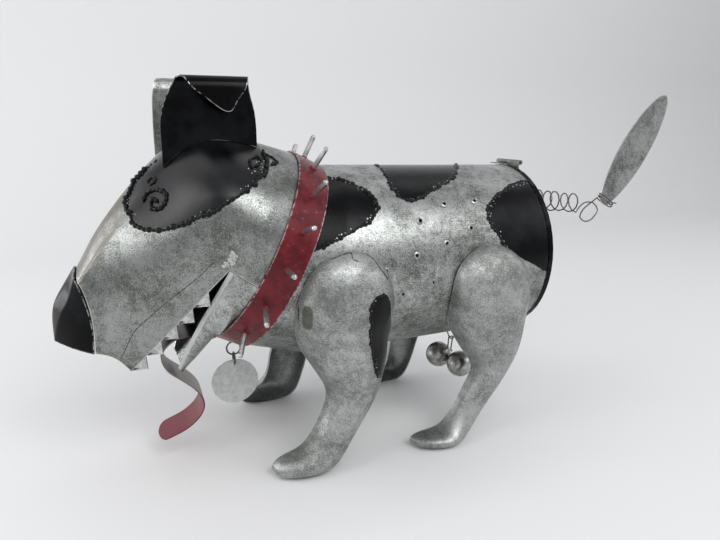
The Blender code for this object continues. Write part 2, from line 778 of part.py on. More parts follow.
def blade_frame():
    along = Vector((math.cos(BLADE_ANGLE), 0.0, math.sin(BLADE_ANGLE)))
    across = Vector((math.sin(BLADE_ANGLE), 0.0, -math.cos(BLADE_ANGLE)))
    base = Vector((BLADE_BASE_X, 0.0, AXIS_HEIGHT + TAIL_RISE - BLADE_BASE_DROP))
    return base, along, across


def tail_path():
    start = LID_DEPTH + FIT + TAIL_WIRE_RADIUS
    path = []
    count = SPRING_TURNS * SPRING_STEPS
    for step in range(count + 1):
        share = step / count
        angle = math.tau * step / SPRING_STEPS
        held = math.sin(math.pi * share)
        radius = SPRING_RADIUS + SPRING_SWELL * held * math.sin(0.43 * angle)
        stray = SPRING_STRAY * held * math.sin(0.31 * angle)
        path.append(
            Vector(
                (
                    start + SPRING_LENGTH * share + stray,
                    -radius * math.sin(angle),
                    AXIS_HEIGHT + TAIL_RISE - SPRING_DROP * share - radius * math.cos(angle),
                )
            )
        )
    end = Vector((start + SPRING_LENGTH, 0.0, AXIS_HEIGHT + TAIL_RISE - SPRING_DROP))
    loop = [path[-1]]
    for x, y, z in TAIL_LOOP:
        loop.append(end + Vector((x, y, z)))
    base, along, across = blade_frame()
    wrap = []
    turns = math.tau * WRAP_TURNS
    steps = int(WRAP_TURNS * 12)
    for step in range(steps + 1):
        angle = turns * step / steps
        centre = base + along * (WRAP_START + WRAP_PITCH * angle / math.tau)
        wrap.append(
            centre
            - across * WRAP_HALF_WIDTH * math.cos(angle)
            + Vector((0.0, WRAP_HALF_DEPTH * math.sin(angle), 0.0))
        )
    loop.append(wrap[0])
    wrap.append(wrap[-1] + across * WRAP_END + along * WRAP_END / 2)
    return path[:-1] + spline(loop, 2)[:-1] + wrap


def tail(wire_surface, blade_surface, origin):
    wire("tail_spring", tail_path(), TAIL_WIRE_RADIUS, wire_surface, sides=5, origin=origin)
    base, along, across = blade_frame()
    widest = max(half for _, half in BLADE_HALF_WIDTHS)
    rows = []
    for share, half in BLADE_HALF_WIDTHS:
        cup = BLADE_CUP * (half / widest) ** 2
        row = []
        for step in (-1.0, -0.5, 0.0, 0.5, 1.0):
            point = base + along * BLADE_LENGTH * share + across * half * step
            row.append(point + Vector((0.0, cup * (1 - step**2) + SHEET / 2, 0.0)))
        rows.append(row)
    sheet("tail_blade", rows, blade_surface, origin=origin)


def ring(name, centre, across, up, radius, wire_radius, surface, steps=18):
    path = []
    for step in range(steps):
        angle = math.tau * step / steps
        path.append(centre + radius * (math.cos(angle) * across + math.sin(angle) * up))
    return wire(name, path, wire_radius, surface, closed=True)


def tag(steel, pale):
    """Two linked rings under the collar, the lower one through the hole of the round tag."""
    across = Vector((1.0, 0.0, 0.0))
    sideways = Vector((0.0, 1.0, 0.0))
    up = Vector((0.0, 0.0, 1.0))
    collar_outside = NECK_RADIUS + FIT + COLLAR_SHEET
    reach = collar_outside + FIT + TAG_WIRE_RADIUS + TAG_RING_RADIUS
    top = neck_point(-math.pi / 2, reach, TAG_RING_ALONG)
    ring("tag_ring_upper", top, across, up, TAG_RING_RADIUS, TAG_WIRE_RADIUS, steel)
    lower = top - up * (TAG_RING_RADIUS + TAG_LINK_RADIUS - 2 * TAG_WIRE_RADIUS - FIT)
    ring("tag_ring_lower", lower, sideways, up, TAG_LINK_RADIUS, TAG_WIRE_RADIUS, steel)
    hole = lower - up * (TAG_LINK_RADIUS - TAG_HOLE_RADIUS + TAG_WIRE_RADIUS + FIT)
    centre = hole - up * (TAG_RADIUS - TAG_HOLE_INSET)
    sides = 40
    hole_sides = 10
    points = []
    for y in (-TAG_SHEET / 2, TAG_SHEET / 2):
        for step in range(sides):
            angle = math.tau * step / sides
            out = math.cos(angle) * across + math.sin(angle) * up
            points.append(centre + TAG_RADIUS * out + sideways * y)
    faces = [tuple(range(sides)), tuple(reversed(range(sides, 2 * sides)))]
    for step in range(sides):
        following = (step + 1) % sides
        faces.append((step, step + sides, following + sides, following))
    disc = add_object("tag_disc", points, faces, pale)
    reach = TAG_SHEET
    path = [hole + sideways * y for y in (-reach, reach)]
    cutter = wire("tag_hole_cutter", path, TAG_HOLE_RADIUS, pale, sides=hole_sides)
    cutter.hide_render = True
    cutter.display_type = "WIRE"
    cut = disc.modifiers.new("hole", "BOOLEAN")
    cut.operation = "DIFFERENCE"
    cut.solver = "EXACT"
    cut.object = cutter


def ball(name, centre, surface):
    rings = 9
    sides = 14
    points = [centre - Vector((0.0, 0.0, BALL_RADIUS))]
    for row in range(1, rings):
        angle = math.pi * row / rings - math.pi / 2
        for step in range(sides):
            turn = math.tau * step / sides
            level = Vector((math.cos(turn), math.sin(turn), 0.0)) * math.cos(angle)
            points.append(centre + BALL_RADIUS * (level + Vector((0.0, 0.0, math.sin(angle)))))
    points.append(centre + Vector((0.0, 0.0, BALL_RADIUS)))
    faces = []
    for step in range(sides):
        following = (step + 1) % sides
        faces.append((0, 1 + following, 1 + step))
        top = 1 + (rings - 2) * sides
        faces.append((len(points) - 1, top + step, top + following))
        for row in range(rings - 2):
            a = 1 + row * sides
            faces.append((a + step, a + following, a + sides + following, a + sides + step))
    return add_object(name, points, faces, surface)


def hanging_balls(steel, surface):
    """A wire ring under the belly carries a bent wire with a ball on each end."""
    belly = AXIS_HEIGHT - barrel_radius(BALL_HOOK_X)
    centre = Vector((BALL_HOOK_X, 0.0, belly - FIT - BALL_WIRE_RADIUS - BALL_HOOK_RADIUS))
    sideways = Vector((0.0, 1.0, 0.0))
    up = Vector((0.0, 0.0, 1.0))
    ring("belly_ring", centre, sideways, up, BALL_HOOK_RADIUS, BALL_WIRE_RADIUS, steel, steps=14)
    lift = BALL_RADIUS + FIT + BALL_WIRE_RADIUS / 2
    apex = centre - up * (BALL_HOOK_RADIUS - 2 * BALL_WIRE_RADIUS - 2 * FIT)
    front = Vector((FRONT_BALL_X, FRONT_BALL_Y, belly - FRONT_BALL_DROP))
    rear = Vector((REAR_BALL_X, REAR_BALL_Y, belly - REAR_BALL_DROP))
    toward = (rear - front).normalized()
    front_end = toward * math.cos(BALL_WIRE_LEAN) + up * math.sin(BALL_WIRE_LEAN)
    rear_end = -toward * math.cos(BALL_WIRE_LEAN) + up * math.sin(BALL_WIRE_LEAN)
    bends = [
        front + front_end * lift,
        front + front_end * (lift + BALL_WIRE_STRAIGHT),
        apex - Vector((BALL_HOOK_RADIUS / 3, 0.0, BALL_WIRE_RADIUS)),
        apex,
        apex + Vector((BALL_HOOK_RADIUS / 3, 0.0, -BALL_WIRE_RADIUS)),
        rear + rear_end * (lift + BALL_WIRE_STRAIGHT),
        rear + rear_end * lift,
    ]
    wire("ball_wire", spline(bends, 2), BALL_WIRE_RADIUS, steel)
    ball("ball_front", front, surface)
    ball("ball_rear", rear, surface)


def outer_tree(rows, closed=False):
    points = [point for row in rows for point in row]
    return BVHTree.FromPolygons(points, grid_faces(len(rows), len(rows[0]), closed))


def set_on_floor():
    """Moves the whole dog so that its box stands on the floor, centred on the origin."""
    bpy.context.view_layer.update()
    graph = bpy.context.evaluated_depsgraph_get()
    corners = []
    for made in bpy.context.scene.objects:
        if not made.hide_render:
            solid = made.evaluated_get(graph)
            mesh = solid.to_mesh()
            corners += [solid.matrix_world @ vertex.co for vertex in mesh.vertices]
            solid.to_mesh_clear()
    low = [min(corner[axis] for corner in corners) for axis in range(3)]
    high = [max(corner[axis] for corner in corners) for axis in range(3)]
    move = Vector((-(low[0] + high[0]) / 2, -(low[1] + high[1]) / 2, -low[2]))
    for made in bpy.context.scene.objects:
        made.location += move


def build():
    for made in list(bpy.data.objects):
        bpy.data.objects.remove(made, do_unlink=True)
    steel = material("mottled_steel", (0.42, 0.43, 0.41), 0.45, 0.9)
    black = material("black_paint", (0.012, 0.013, 0.015), 0.35, 0.0)
    red = material("red_paint", (0.22, 0.008, 0.015), 0.4, 0.0)
    bright = material("bright_steel", (0.72, 0.73, 0.72), 0.35, 0.9)
    rod = material("plain_wire", (0.35, 0.35, 0.34), 0.35, 1.0)
    tongue_paint = material("tongue_paint", (0.26, 0.03, 0.035), 0.4, 0.0)

    barrel(steel)
    collar(red)
    spikes(bright)
    head(steel)
    lower_jaw(steel)
    teeth("teeth_left", -1.0, bright)
    teeth("teeth_right", 1.0, bright)
    nose(black)
    tongue(tongue_paint)
    head_tree = outer_tree(head_rows())
    ear("ear_left", -1.0, LEFT_EAR, head_tree, black)
    ear("ear_right", 1.0, RIGHT_EAR, head_tree, steel)
    barrel_tree = outer_tree(barrel_rows(), closed=True)
    straight = (0.0, 0.0, 0.0)
    leg("leg_front_left", FRONT_LEG, -1.0, straight, barrel_tree, steel)
    leg("leg_front_right", FRONT_LEG, 1.0, RIGHT_FRONT_SHIFTS, barrel_tree, steel)
    leg("leg_rear_left", REAR_LEG, -1.0, straight, barrel_tree, steel)
    leg("leg_rear_right", REAR_LEG, 1.0, RIGHT_REAR_SHIFTS, barrel_tree, steel)
    pivot = hinge_centre()
    lid(black, pivot)
    hinge(steel, black, rod, pivot)
    tail(rod, steel, pivot)
    tag(rod, bright)
    hanging_balls(rod, steel)
    set_on_floor()


build()
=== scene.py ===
"""Look of the welded steel dog: finer surfaces, weld beads, paint, patina, light and camera."""

import math
import random

import bmesh
import bpy
import numpy as np
from mathutils import Matrix, Vector
from mathutils.bvhtree import BVHTree
from mathutils.kdtree import KDTree


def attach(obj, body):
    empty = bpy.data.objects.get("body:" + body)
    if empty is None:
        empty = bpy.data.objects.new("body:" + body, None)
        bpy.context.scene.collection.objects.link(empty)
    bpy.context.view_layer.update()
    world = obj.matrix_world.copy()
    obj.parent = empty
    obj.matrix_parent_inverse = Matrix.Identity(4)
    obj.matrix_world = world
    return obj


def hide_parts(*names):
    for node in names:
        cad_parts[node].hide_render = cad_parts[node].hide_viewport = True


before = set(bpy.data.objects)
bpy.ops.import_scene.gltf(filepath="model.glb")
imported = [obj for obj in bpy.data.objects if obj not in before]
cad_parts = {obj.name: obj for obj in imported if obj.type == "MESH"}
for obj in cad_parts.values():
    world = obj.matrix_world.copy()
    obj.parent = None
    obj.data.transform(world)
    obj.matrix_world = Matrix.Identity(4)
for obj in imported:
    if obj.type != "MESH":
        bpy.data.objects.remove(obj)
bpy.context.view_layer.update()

MM = 0.001
DOG = "dog"
LID = "lid"

# Camera, fitted to the photograph of 720 x 540 pixels; angles in radians
PHOTO_WIDTH = 720
PHOTO_HEIGHT = 540
FOCAL_PIXELS = 588.924
CAMERA_PLACE = Vector((-0.257071, -0.511298, 0.291374))
CAMERA_YAW = 0.380
CAMERA_PITCH = 0.242
CAMERA_ROLL = 0.003
SENSOR_WIDTH = 36.0
NEAREST_SEEN = 0.01

# Barrel, neck and collar, as in the part: the barrel's rear end stands at BARREL_REAR_X
BARREL_REAR_X = 0.102503
BARREL_Y = 0.000188
FLOOR_LIFT = 0.001184
AXIS_HEIGHT = 0.169 + FLOOR_LIFT
REAR_RADIUS = 0.082
FRONT_RADIUS = 0.086
BARREL_TOP_LENGTH = 0.190
BARREL_BOTTOM_LENGTH = 0.214
NECK = Vector((-0.2369 + BARREL_REAR_X, BARREL_Y, 0.1772 + FLOOR_LIFT))
NECK_TILT = math.radians(27.6)
NECK_RADIUS = 0.0862
COLLAR_WIDTH = 0.0274
SHEET = 0.0012
BARREL_COLUMNS = 288
BARREL_ROWS = 110
NECK_ROWS = 12
NECK_SINK = 0.0003

# Ridge around the nose's front plate, as in the part: x from the barrel's rear, half width, z from its axis
NOSE_RIDGE = (
    (-0.4013, 0.0228, 0.0046), (-0.4062, 0.0188, -0.0107), (-0.4116, 0.0150, -0.0208),
    (-0.4172, 0.0100, -0.0330), (-0.4212, 0.0045, -0.0490),
)

# Pixels of the photograph: black patches, as outlines
EYE_PATCH = (
    (125, 206), (127, 197), (131, 189), (135.5, 180), (142, 173), (148, 166), (155, 152),
    (170, 136), (190, 130), (215, 127), (238, 130), (254, 140), (262, 152), (267, 163),
    (264.5, 173), (250, 188), (241, 194), (233, 199), (222, 206), (211, 213), (194.5, 219),
    (183, 225), (172, 228), (155.5, 230.5), (142, 229), (135.5, 225.5), (131, 219), (130, 214),
)
EYE_BEAD = EYE_PATCH[12:] + EYE_PATCH[:6]
SHOULDER_PATCH = (
    (318, 179), (330, 178), (340, 179), (350, 182), (360, 187), (370, 193), (376, 200), (378, 206),
    (374, 215), (368, 223), (358, 229), (345, 236), (332, 243), (318, 249), (308, 252), (302, 240),
    (305, 210), (311, 190),
)
BACK_PATCH = (
    (375, 165), (383, 172), (388, 180), (393, 190), (400, 197), (412, 201), (420, 199), (430, 192),
    (440, 186), (449, 181), (456, 173), (458, 164), (440, 158), (400, 158),
)
REAR_PATCH = (
    (533, 181), (530, 183), (515, 183), (508, 186), (500, 194), (492, 200), (488, 207), (488, 217),
    (491, 225), (497, 233), (503, 243), (507, 249), (515, 254), (525, 260), (535, 265), (549, 269),
    (560, 250), (556, 215), (545, 188),
)
# How many of each outline's first points carry a bead, or are seen
SHOULDER_PATCH_BEAD = 15
REAR_PATCH_BEAD = 12
BACK_PATCH_SEEN = 12
# The back patch beyond the top: x from the barrel's rear and angle around its axis in radians
BACK_PATCH_BEYOND = ((-0.075, 1.93), (-0.105, 2.10), (-0.135, 2.00), (-0.150, 1.80))
LEG_PATCH = (
    (385, 294), (377, 298), (372, 305), (370.5, 315), (370.5, 340), (373, 355), (375, 370), (378, 377),
    (384, 377), (389, 365), (391, 340), (391, 310), (389, 298),
)
LEG_PATCH_BEAD = 8

# Pixels of the photograph: eye, holes, blobs, panel, hem, stain, cracks, seam and welds
EYE_SPIRAL = (
    (158.5, 203.0), (155.0, 199.8), (151.2, 202.0), (151.0, 206.5), (155.0, 209.5), (161.0, 208.0),
    (165.3, 203.0), (166.3, 196.5), (162.5, 191.2), (156.0, 189.5), (149.5, 191.8), (145.0, 197.0),
    (143.0, 203.0),
)
BROW_RING = ((148.0, 182.0), (151.5, 177.8), (156.0, 178.5), (154.0, 182.5), (149.5, 184.5))
HOLES = (
    (444, 204), (474, 201), (420, 221), (471, 228), (447, 243.5), (417, 255.5), (386, 271),
    (434, 282), (403, 294),
)
BLOBS = ((391, 229), (361, 245), (379, 193), (371, 173), (495, 183))
# Outline of the head's top panel, darkened to grey-brown on both sides as painted shade
TOP_PANEL = (
    (161, 168), (149, 182), (135, 201), (121, 220), (105, 249), (92, 269), (84, 281), (76, 283),
    (66, 276), (70, 250), (95, 205), (125, 165), (155, 140), (170, 150),
)
JAW_HEM = (
    (231, 268), (218, 289), (209, 302), (201, 316), (192, 334), (183, 352), (176, 369), (179, 371),
    (187, 356), (196, 339), (205, 322), (213, 308), (222, 293), (234, 273),
)
LEG_STAIN = ((303, 308), (312, 309), (312, 328), (303, 327))
LEG_SLIT = ((298, 303), (298.5, 311), (299, 320))
LEG_MARK = ((319, 258), (317, 262), (312.5, 261), (311.5, 256), (315, 253.5), (318.5, 255))
LEG_CRACKS = (
    ((318, 262), (326, 259.5), (335, 258), (345, 254), (351, 253), (353, 259), (360, 262)),
    ((345, 248), (355, 247), (364, 251), (372, 258), (380, 268), (388, 280)),
)
HEAD_SEAM = ((214, 262), (200, 276), (180, 292), (160, 308), (142, 324), (133, 334), (121, 359))
MOUTH_WELD = ((227, 264), (231, 259), (234, 256))
EAR_WELD_REAR = ((262, 153), (268, 156), (271, 163), (266, 168), (258, 172), (252, 170), (261, 160))
EAR_LOOPS = (
    ((253, 169), (250, 164), (252, 159), (257, 157), (261, 161), (259, 166), (254, 167)),
    ((262, 150), (266, 155), (272, 158), (276, 163), (270, 165)),
)
EAR_WELD_FRONT = ((148, 167), (152, 164), (157, 160))

# Heights where the ear's wear starts, and where the tongue's red paint gives way to its painted reflection
# and shade
EAR_WORN_ABOVE = 0.296
TONGUE_TURN_HEIGHT = 0.060
TURN_BLUR = 0.004

# Punched holes, single weld blobs and the welds at the spikes' feet
HOLE_RADIUS = 0.0017
HOLE_RIM = 0.0011
HOLE_RIM_START = 1.15
BLOB_RADIUS = 0.0019
BLOB_HEIGHT = 0.0008
SPIKE_WELD_RADIUS = 0.0034
SPIKE_WELD_HEIGHT = 0.0018
SPIKE_FOOT = 0.002

# Weld beads: width, height as a share of it, pitch of the ripples, lift off the sheet, raggedness
EYE_EDGE_BEAD = (0.0038, 0.50, 0.0042, 0.0005, 0.45)
SPIRAL_BEAD = (0.0038, 0.50, 0.0040, 0.0006)
RING_BEAD = (0.0022, 0.45, 0.0030, 0.0004)
BARREL_BEAD = (0.0036, 0.48, 0.0042, 0.0004, 0.45)
LEG_BEAD = (0.0028, 0.42, 0.0036, 0.0002, 0.45)
LOOP_BEAD = (0.0026, 0.50, 0.0034, 0.0006, 0.5)
CRACK_BEAD = (0.0010, 0.35, 0.005, 0.0001)
SLIT_BEAD = (0.0014, 0.3, 0.004, 0.0002)
MARK_BEAD = (0.0016, 0.4, 0.003, 0.0002)
SEAM_BEAD = (0.0008, 0.3, 0.006)

# Strewn lumps: how many, how far from the path, smallest and largest radius, height as a share of it
EAR_REAR_LUMPS = (26, 0.0032, 0.0009, 0.0020)
EAR_FRONT_LUMPS = (8, 0.0016, 0.0008, 0.0014)
EYE_SPARKS = (190, 0.0036, 0.0002, 0.0006)
BARREL_SPARKS = (120, 0.0032, 0.0002, 0.0006)
LEG_SPARKS = (60, 0.0026, 0.0002, 0.0006)
EAR_SPARKS = (24, 0.0040, 0.0004, 0.0009)
MOUTH_LUMPS = (44, 0.0026, 0.0007, 0.0019, 0.30)

# Cross-sections of beads, lumps and hole rims
BEAD_SIDES = 8
BEAD_STEP = 0.16
BEAD_TAPER = 0.25
RIPPLE_MIDDLE = 0.52
RIPPLE_DEPTH = 0.48
RIPPLE_EDGE = 0.02
LUMP_SIDES = 9
LUMP_UNEVEN = 0.3
LUMP_ROWS = ((1.0, -0.3), (0.95, 0.25), (0.7, 0.75), (0.3, 1.0))
RIM_SIDES = 18
RIM_HEIGHT = 0.75
SCATTER_STEP = 0.001

# Searching a surface's edge along a ray, and smoothing a path
FIRST_DEPTH = 0.40
DEPTH_STEP = 0.01
DEPTH_STEPS = 60
PATH_PARTS = 24

# Refining a CAD node: how far the cage is pushed out to make up for the smoothing, and in how many rounds
CAGE_ROUNDS = 2
CAGE_SHARE = 0.9
FOLD_REACH = 0.0022
SHARP_ANGLE = 40.0
ROUND_SHARP_ANGLE = 75.0
SHADE_ANGLE = 38.0
BEAD_SHADE_ANGLE = 60.0
SAME_PLACE = 1e-5
JOIN_FACE_ANGLE = 50.0
JOIN_SHAPE_ANGLE = 120.0
FINE = 3
SMALL = 2
RIM_SHARES = (0.0, 0.33, 0.67, 1.0)
NO_RIM_MM = 99.0

# Fields painted from the photograph's outlines: depth that still counts as in sight, value outside
HIDDEN_DEPTH = 0.0022
OUTSIDE_MM = -20.0
NEAR_OUTLINE_MM = -6.0
PIXEL_STEP = 1.5
OUTLINE_STEP = 0.001

# Floor and wall, metres
FLOOR_FRONT = -3.0
FLOOR_BACK = 0.9
FLOOR_CURVE = 0.5
FLOOR_CURVE_STEPS = 12
FLOOR_HALF_WIDTH = 4.0
WALL_TOP = 3.0
FLOOR_COLOUR = (0.76, 0.76, 0.76)
FLOOR_ROUGHNESS = 0.6

# Area lights: name, place, target, size, power in watts
LIGHTS = (
    ("left", (-1.25, -0.38, 0.74), (-0.2, 0.0, 0.20), (0.46, 0.66), 2.8),
    ("left soft", (-1.4, -0.3, 0.85), (-0.2, 0.0, 0.20), (1.2, 1.1), 0.8),
    ("left back", (-1.5, 0.65, 0.45), (-0.3, 0.0, 0.20), (0.8, 0.8), 7.5),
    ("left high", (-1.1, 0.1, 1.5), (-0.2, 0.0, 0.10), (0.9, 1.2), 2.4),
    ("front high", (-0.30, -1.3, 1.5), (-0.05, 0.0, 0.15), (1.1, 0.7), 7.0),
    ("right", (0.345, -1.07, 1.18), (-0.05, 0.0, 0.17), (0.5, 0.85), 6.0),
    ("right soft", (1.25, -0.6, 0.9), (0.0, 0.0, 0.15), (1.0, 0.9), 3.4),
    ("wall", (0.9, 0.55, 1.9), (0.9, 1.4, 0.7), (3.0, 0.5), 5.8),
)
SKY_COLOUR = (0.95, 0.96, 1.0, 1.0)
SKY_STRENGTH = 0.53


def pixel_ray(u, v):
    """Direction from the camera through a pixel of the photograph."""
    right, up, forward = camera_axes()
    across = (u - PHOTO_WIDTH / 2) / FOCAL_PIXELS
    rise = (PHOTO_HEIGHT / 2 - v) / FOCAL_PIXELS
    return (forward + right * across + up * rise).normalized()


def camera_axes():
    """Right, up and forward of the camera as unit vectors."""
    cosine = math.cos(CAMERA_PITCH)
    forward = Vector((math.sin(CAMERA_YAW) * cosine, math.cos(CAMERA_YAW) * cosine, -math.sin(CAMERA_PITCH)))
    level = forward.cross(Vector((0.0, 0.0, 1.0))).normalized()
    upright = level.cross(forward)
    right = level * math.cos(CAMERA_ROLL) + upright * math.sin(CAMERA_ROLL)
    up = upright * math.cos(CAMERA_ROLL) - level * math.sin(CAMERA_ROLL)
    return right, up, forward


def on_surface(tree, pixel, beyond=0.004):
    """(point, normal) where a pixel's ray meets the surface, or the surface's edge nearest to the ray."""
    ray = pixel_ray(*pixel)
    point, normal, _, _ = tree.ray_cast(CAMERA_PLACE, ray)
    if point is not None:
        return point, normal
    best = None
    for step in range(DEPTH_STEPS):
        place = CAMERA_PLACE + ray * (FIRST_DEPTH + DEPTH_STEP * step)
        near, normal, _, gap = tree.find_nearest(place)
        if best is None or gap < best[2]:
            best = (near, normal, gap)
    near = best[0] + Vector((0.0, beyond, 0.0))
    point, normal, _, _ = tree.find_nearest(near)
    return point, normal


def pixels_of(points):
    """Pixels of the photograph, and depths, of an array of points."""
    right, up, forward = (np.array(axis) for axis in camera_axes())
    offset = points - np.array(CAMERA_PLACE)
    depth = offset @ forward
    across = PHOTO_WIDTH / 2 + FOCAL_PIXELS * (offset @ right) / depth
    down = PHOTO_HEIGHT / 2 - FOCAL_PIXELS * (offset @ up) / depth
    return np.stack((across, down), 1), depth


def tree_of(piece):
    """Search tree of a piece's evaluated surface."""
    return BVHTree.FromObject(piece, bpy.context.evaluated_depsgraph_get())


def smooth_path(points, step, closed):
    """The points joined by a smooth curve and spaced evenly."""
    count = len(points)
    dense = []
    for index in range(count if closed else count - 1):
        if closed:
            p0, p1, p2, p3 = (points[(index + shift) % count] for shift in (-1, 0, 1, 2))
        else:
            p0 = points[max(index - 1, 0)]
            p1 = points[index]
            p2 = points[index + 1]
            p3 = points[min(index + 2, count - 1)]
        slope = p2 - p0
        bend = 2 * p0 - 5 * p1 + 4 * p2 - p3
        twist = 3 * p1 - p0 - 3 * p2 + p3
        for part in range(PATH_PARTS):
            t = part / PATH_PARTS
            dense.append(0.5 * (2 * p1 + slope * t + bend * t**2 + twist * t**3))
    dense.append(points[0] if closed else points[-1])
    even = [dense[0]]
    travelled = 0.0
    for first, second in zip(dense, dense[1:]):
        travelled += (second - first).length
        if travelled >= step:
            even.append(second)
            travelled = 0.0
    return even


class Shader:
    """A Principled material and short ways to add the nodes that feed it."""

    def __init__(self, name):
        self.material = bpy.data.materials.new(name)
        self.material.use_nodes = True
        self.tree = self.material.node_tree
        self.surface = self.tree.nodes["Principled BSDF"]
        self.place = self.tree.nodes.new("ShaderNodeTexCoord").outputs["Object"]

    def set(self, socket, value):
        if isinstance(value, bpy.types.NodeSocket):
            self.tree.links.new(value, self.surface.inputs[socket])
        elif isinstance(value, tuple):
            self.surface.inputs[socket].default_value = (*value, 1.0)
        else:
            self.surface.inputs[socket].default_value = value

    def put(self, socket, value):
        if isinstance(value, bpy.types.NodeSocket):
            self.tree.links.new(value, socket)
        elif isinstance(value, tuple) and len(value) == 3 and socket.type == "RGBA":
            socket.default_value = (*value, 1.0)
        else:
            socket.default_value = value

    def noise(self, scale, detail=3.0, roughness=0.6, stretch=(1.0, 1.0, 1.0), distortion=0.0):
        mapping = self.tree.nodes.new("ShaderNodeMapping")
        mapping.inputs["Scale"].default_value = stretch
        self.put(mapping.inputs["Vector"], self.place)
        node = self.tree.nodes.new("ShaderNodeTexNoise")
        self.put(node.inputs["Vector"], mapping.outputs["Vector"])
        node.inputs["Scale"].default_value = scale
        node.inputs["Detail"].default_value = detail
        node.inputs["Roughness"].default_value = roughness
        node.inputs["Distortion"].default_value = distortion
        return node.outputs["Fac"]

    def steps(self, source, low, high, out_low=0.0, out_high=1.0):
        """The source smoothly mapped from low and high to out_low and out_high."""
        node = self.tree.nodes.new("ShaderNodeMapRange")
        node.interpolation_type = "SMOOTHSTEP"
        self.put(node.inputs["Value"], source)
        node.inputs["From Min"].default_value = low
        node.inputs["From Max"].default_value = high
        node.inputs["To Min"].default_value = out_low
        node.inputs["To Max"].default_value = out_high
        return node.outputs["Result"]

    def combine(self, kind, first, second):
        node = self.tree.nodes.new("ShaderNodeMath")
        node.operation = kind
        self.put(node.inputs[0], first)
        self.put(node.inputs[1], second)
        return node.outputs[0]

    def add(self, first, second):
        return self.combine("ADD", first, second)

    def times(self, first, second):
        return self.combine("MULTIPLY", first, second)

    def larger(self, first, second):
        return self.combine("MAXIMUM", first, second)

    def height(self):
        """The place's Z, in metres."""
        split = self.tree.nodes.new("ShaderNodeSeparateXYZ")
        self.put(split.inputs[0], self.place)
        return split.outputs["Z"]

    def mix(self, share, first, second):
        """Two colours mixed."""
        node = self.tree.nodes.new("ShaderNodeMix")
        node.data_type = "RGBA"
        self.put(node.inputs[0], share)
        self.put(node.inputs[6], first)
        self.put(node.inputs[7], second)
        return node.outputs[2]

    def blend(self, share, first, second):
        """Two numbers mixed."""
        node = self.tree.nodes.new("ShaderNodeMix")
        node.data_type = "FLOAT"
        self.put(node.inputs[0], share)
        self.put(node.inputs[2], first)
        self.put(node.inputs[3], second)
        return node.outputs[0]

    def attribute(self, name):
        node = self.tree.nodes.new("ShaderNodeAttribute")
        node.attribute_name = name
        return node.outputs["Fac"]

    def bump(self, height, distance, strength=1.0):
        node = self.tree.nodes.new("ShaderNodeBump")
        node.inputs["Distance"].default_value = distance
        node.inputs["Strength"].default_value = strength
        self.put(node.inputs["Height"], height)
        self.set("Normal", node.outputs["Normal"])


# Colours of the sheet, its paint and its wear, the painted shade on the head's top panel, and how far
# metallic or mirror-like they are
STEEL_DARK = (0.080, 0.085, 0.074)
STEEL_MID = (0.225, 0.234, 0.221)
STEEL_LIGHT = (0.47, 0.485, 0.475)
STEEL_HAIR = (0.62, 0.63, 0.62)
STEEL_RIM = (0.66, 0.66, 0.64)
CHIPPED_STEEL = (0.42, 0.42, 0.41)
BLACK = (0.0010, 0.0011, 0.0013)
BLACK_SMEARED = (0.0060, 0.0066, 0.0078)
PANEL_PAINTED_SHADE = (0.19, 0.18, 0.16)
STAIN_GREEN = (0.070, 0.078, 0.055)
STEEL_METAL = 0.92
CHIP_METAL = 0.8
WELD_SPECULAR = 0.22
PAINT_SPECULAR = 0.10

# Patina of the bare sheet: scale of each noise, and its share of the tone
DRIFT_SCALE, DRIFT_SHARE = 9.0, 0.14
CLOUD_SCALE, CLOUD_SHARE = 26.0, 0.30
MOTTLE_SCALE, MOTTLE_SHARE = 150.0, 0.18
SPECK_SCALE, SPECK_SHARE = 1000.0, 0.38
HAIR_SCALE = 800.0
HAIR_STRETCH = 0.14
LIGHT_TONES = (0.455, 0.585)
DARK_TONES = (0.51, 0.415)
DARK_SHARE = 0.85
HAIR_TONES = (0.60, 0.70)
HAIR_SHARE = 0.35
SHINY_TONES = (0.42, 0.58)
STEEL_ROUGHNESS = (0.46, 0.27)
STEEL_BUMP = 0.0003

# Black paint: scale of its smears, how rough it is, and its ragged edge in millimetres
SMEAR_SCALE = 45.0
SMEARED_TONES = (0.42, 0.68)
COAT_ROUGHNESS = (0.04, 0.15)
# Head steel: glossier, smoother, and shifted to the dark steel colour, partly its own darker tone and partly
# painted shade
HEAD_TONE_AND_SHADE = {"gloss": 0.45, "dull": -0.06, "tone_and_light_share": 0.36}
# Legs: rougher, and shifted to the light steel colour as a painted reflection of the pale floor
LEG_DULL_AND_REFLECTION = {"dull": 0.13, "tone_and_light_share": 0.22, "tone_and_light_colour": STEEL_LIGHT}
BLACK_ROUGHNESS = (0.12, 0.26)
EDGE_SCALE = 380.0
EDGE_WOBBLE = 2.4
EDGE_BLUR = 0.25


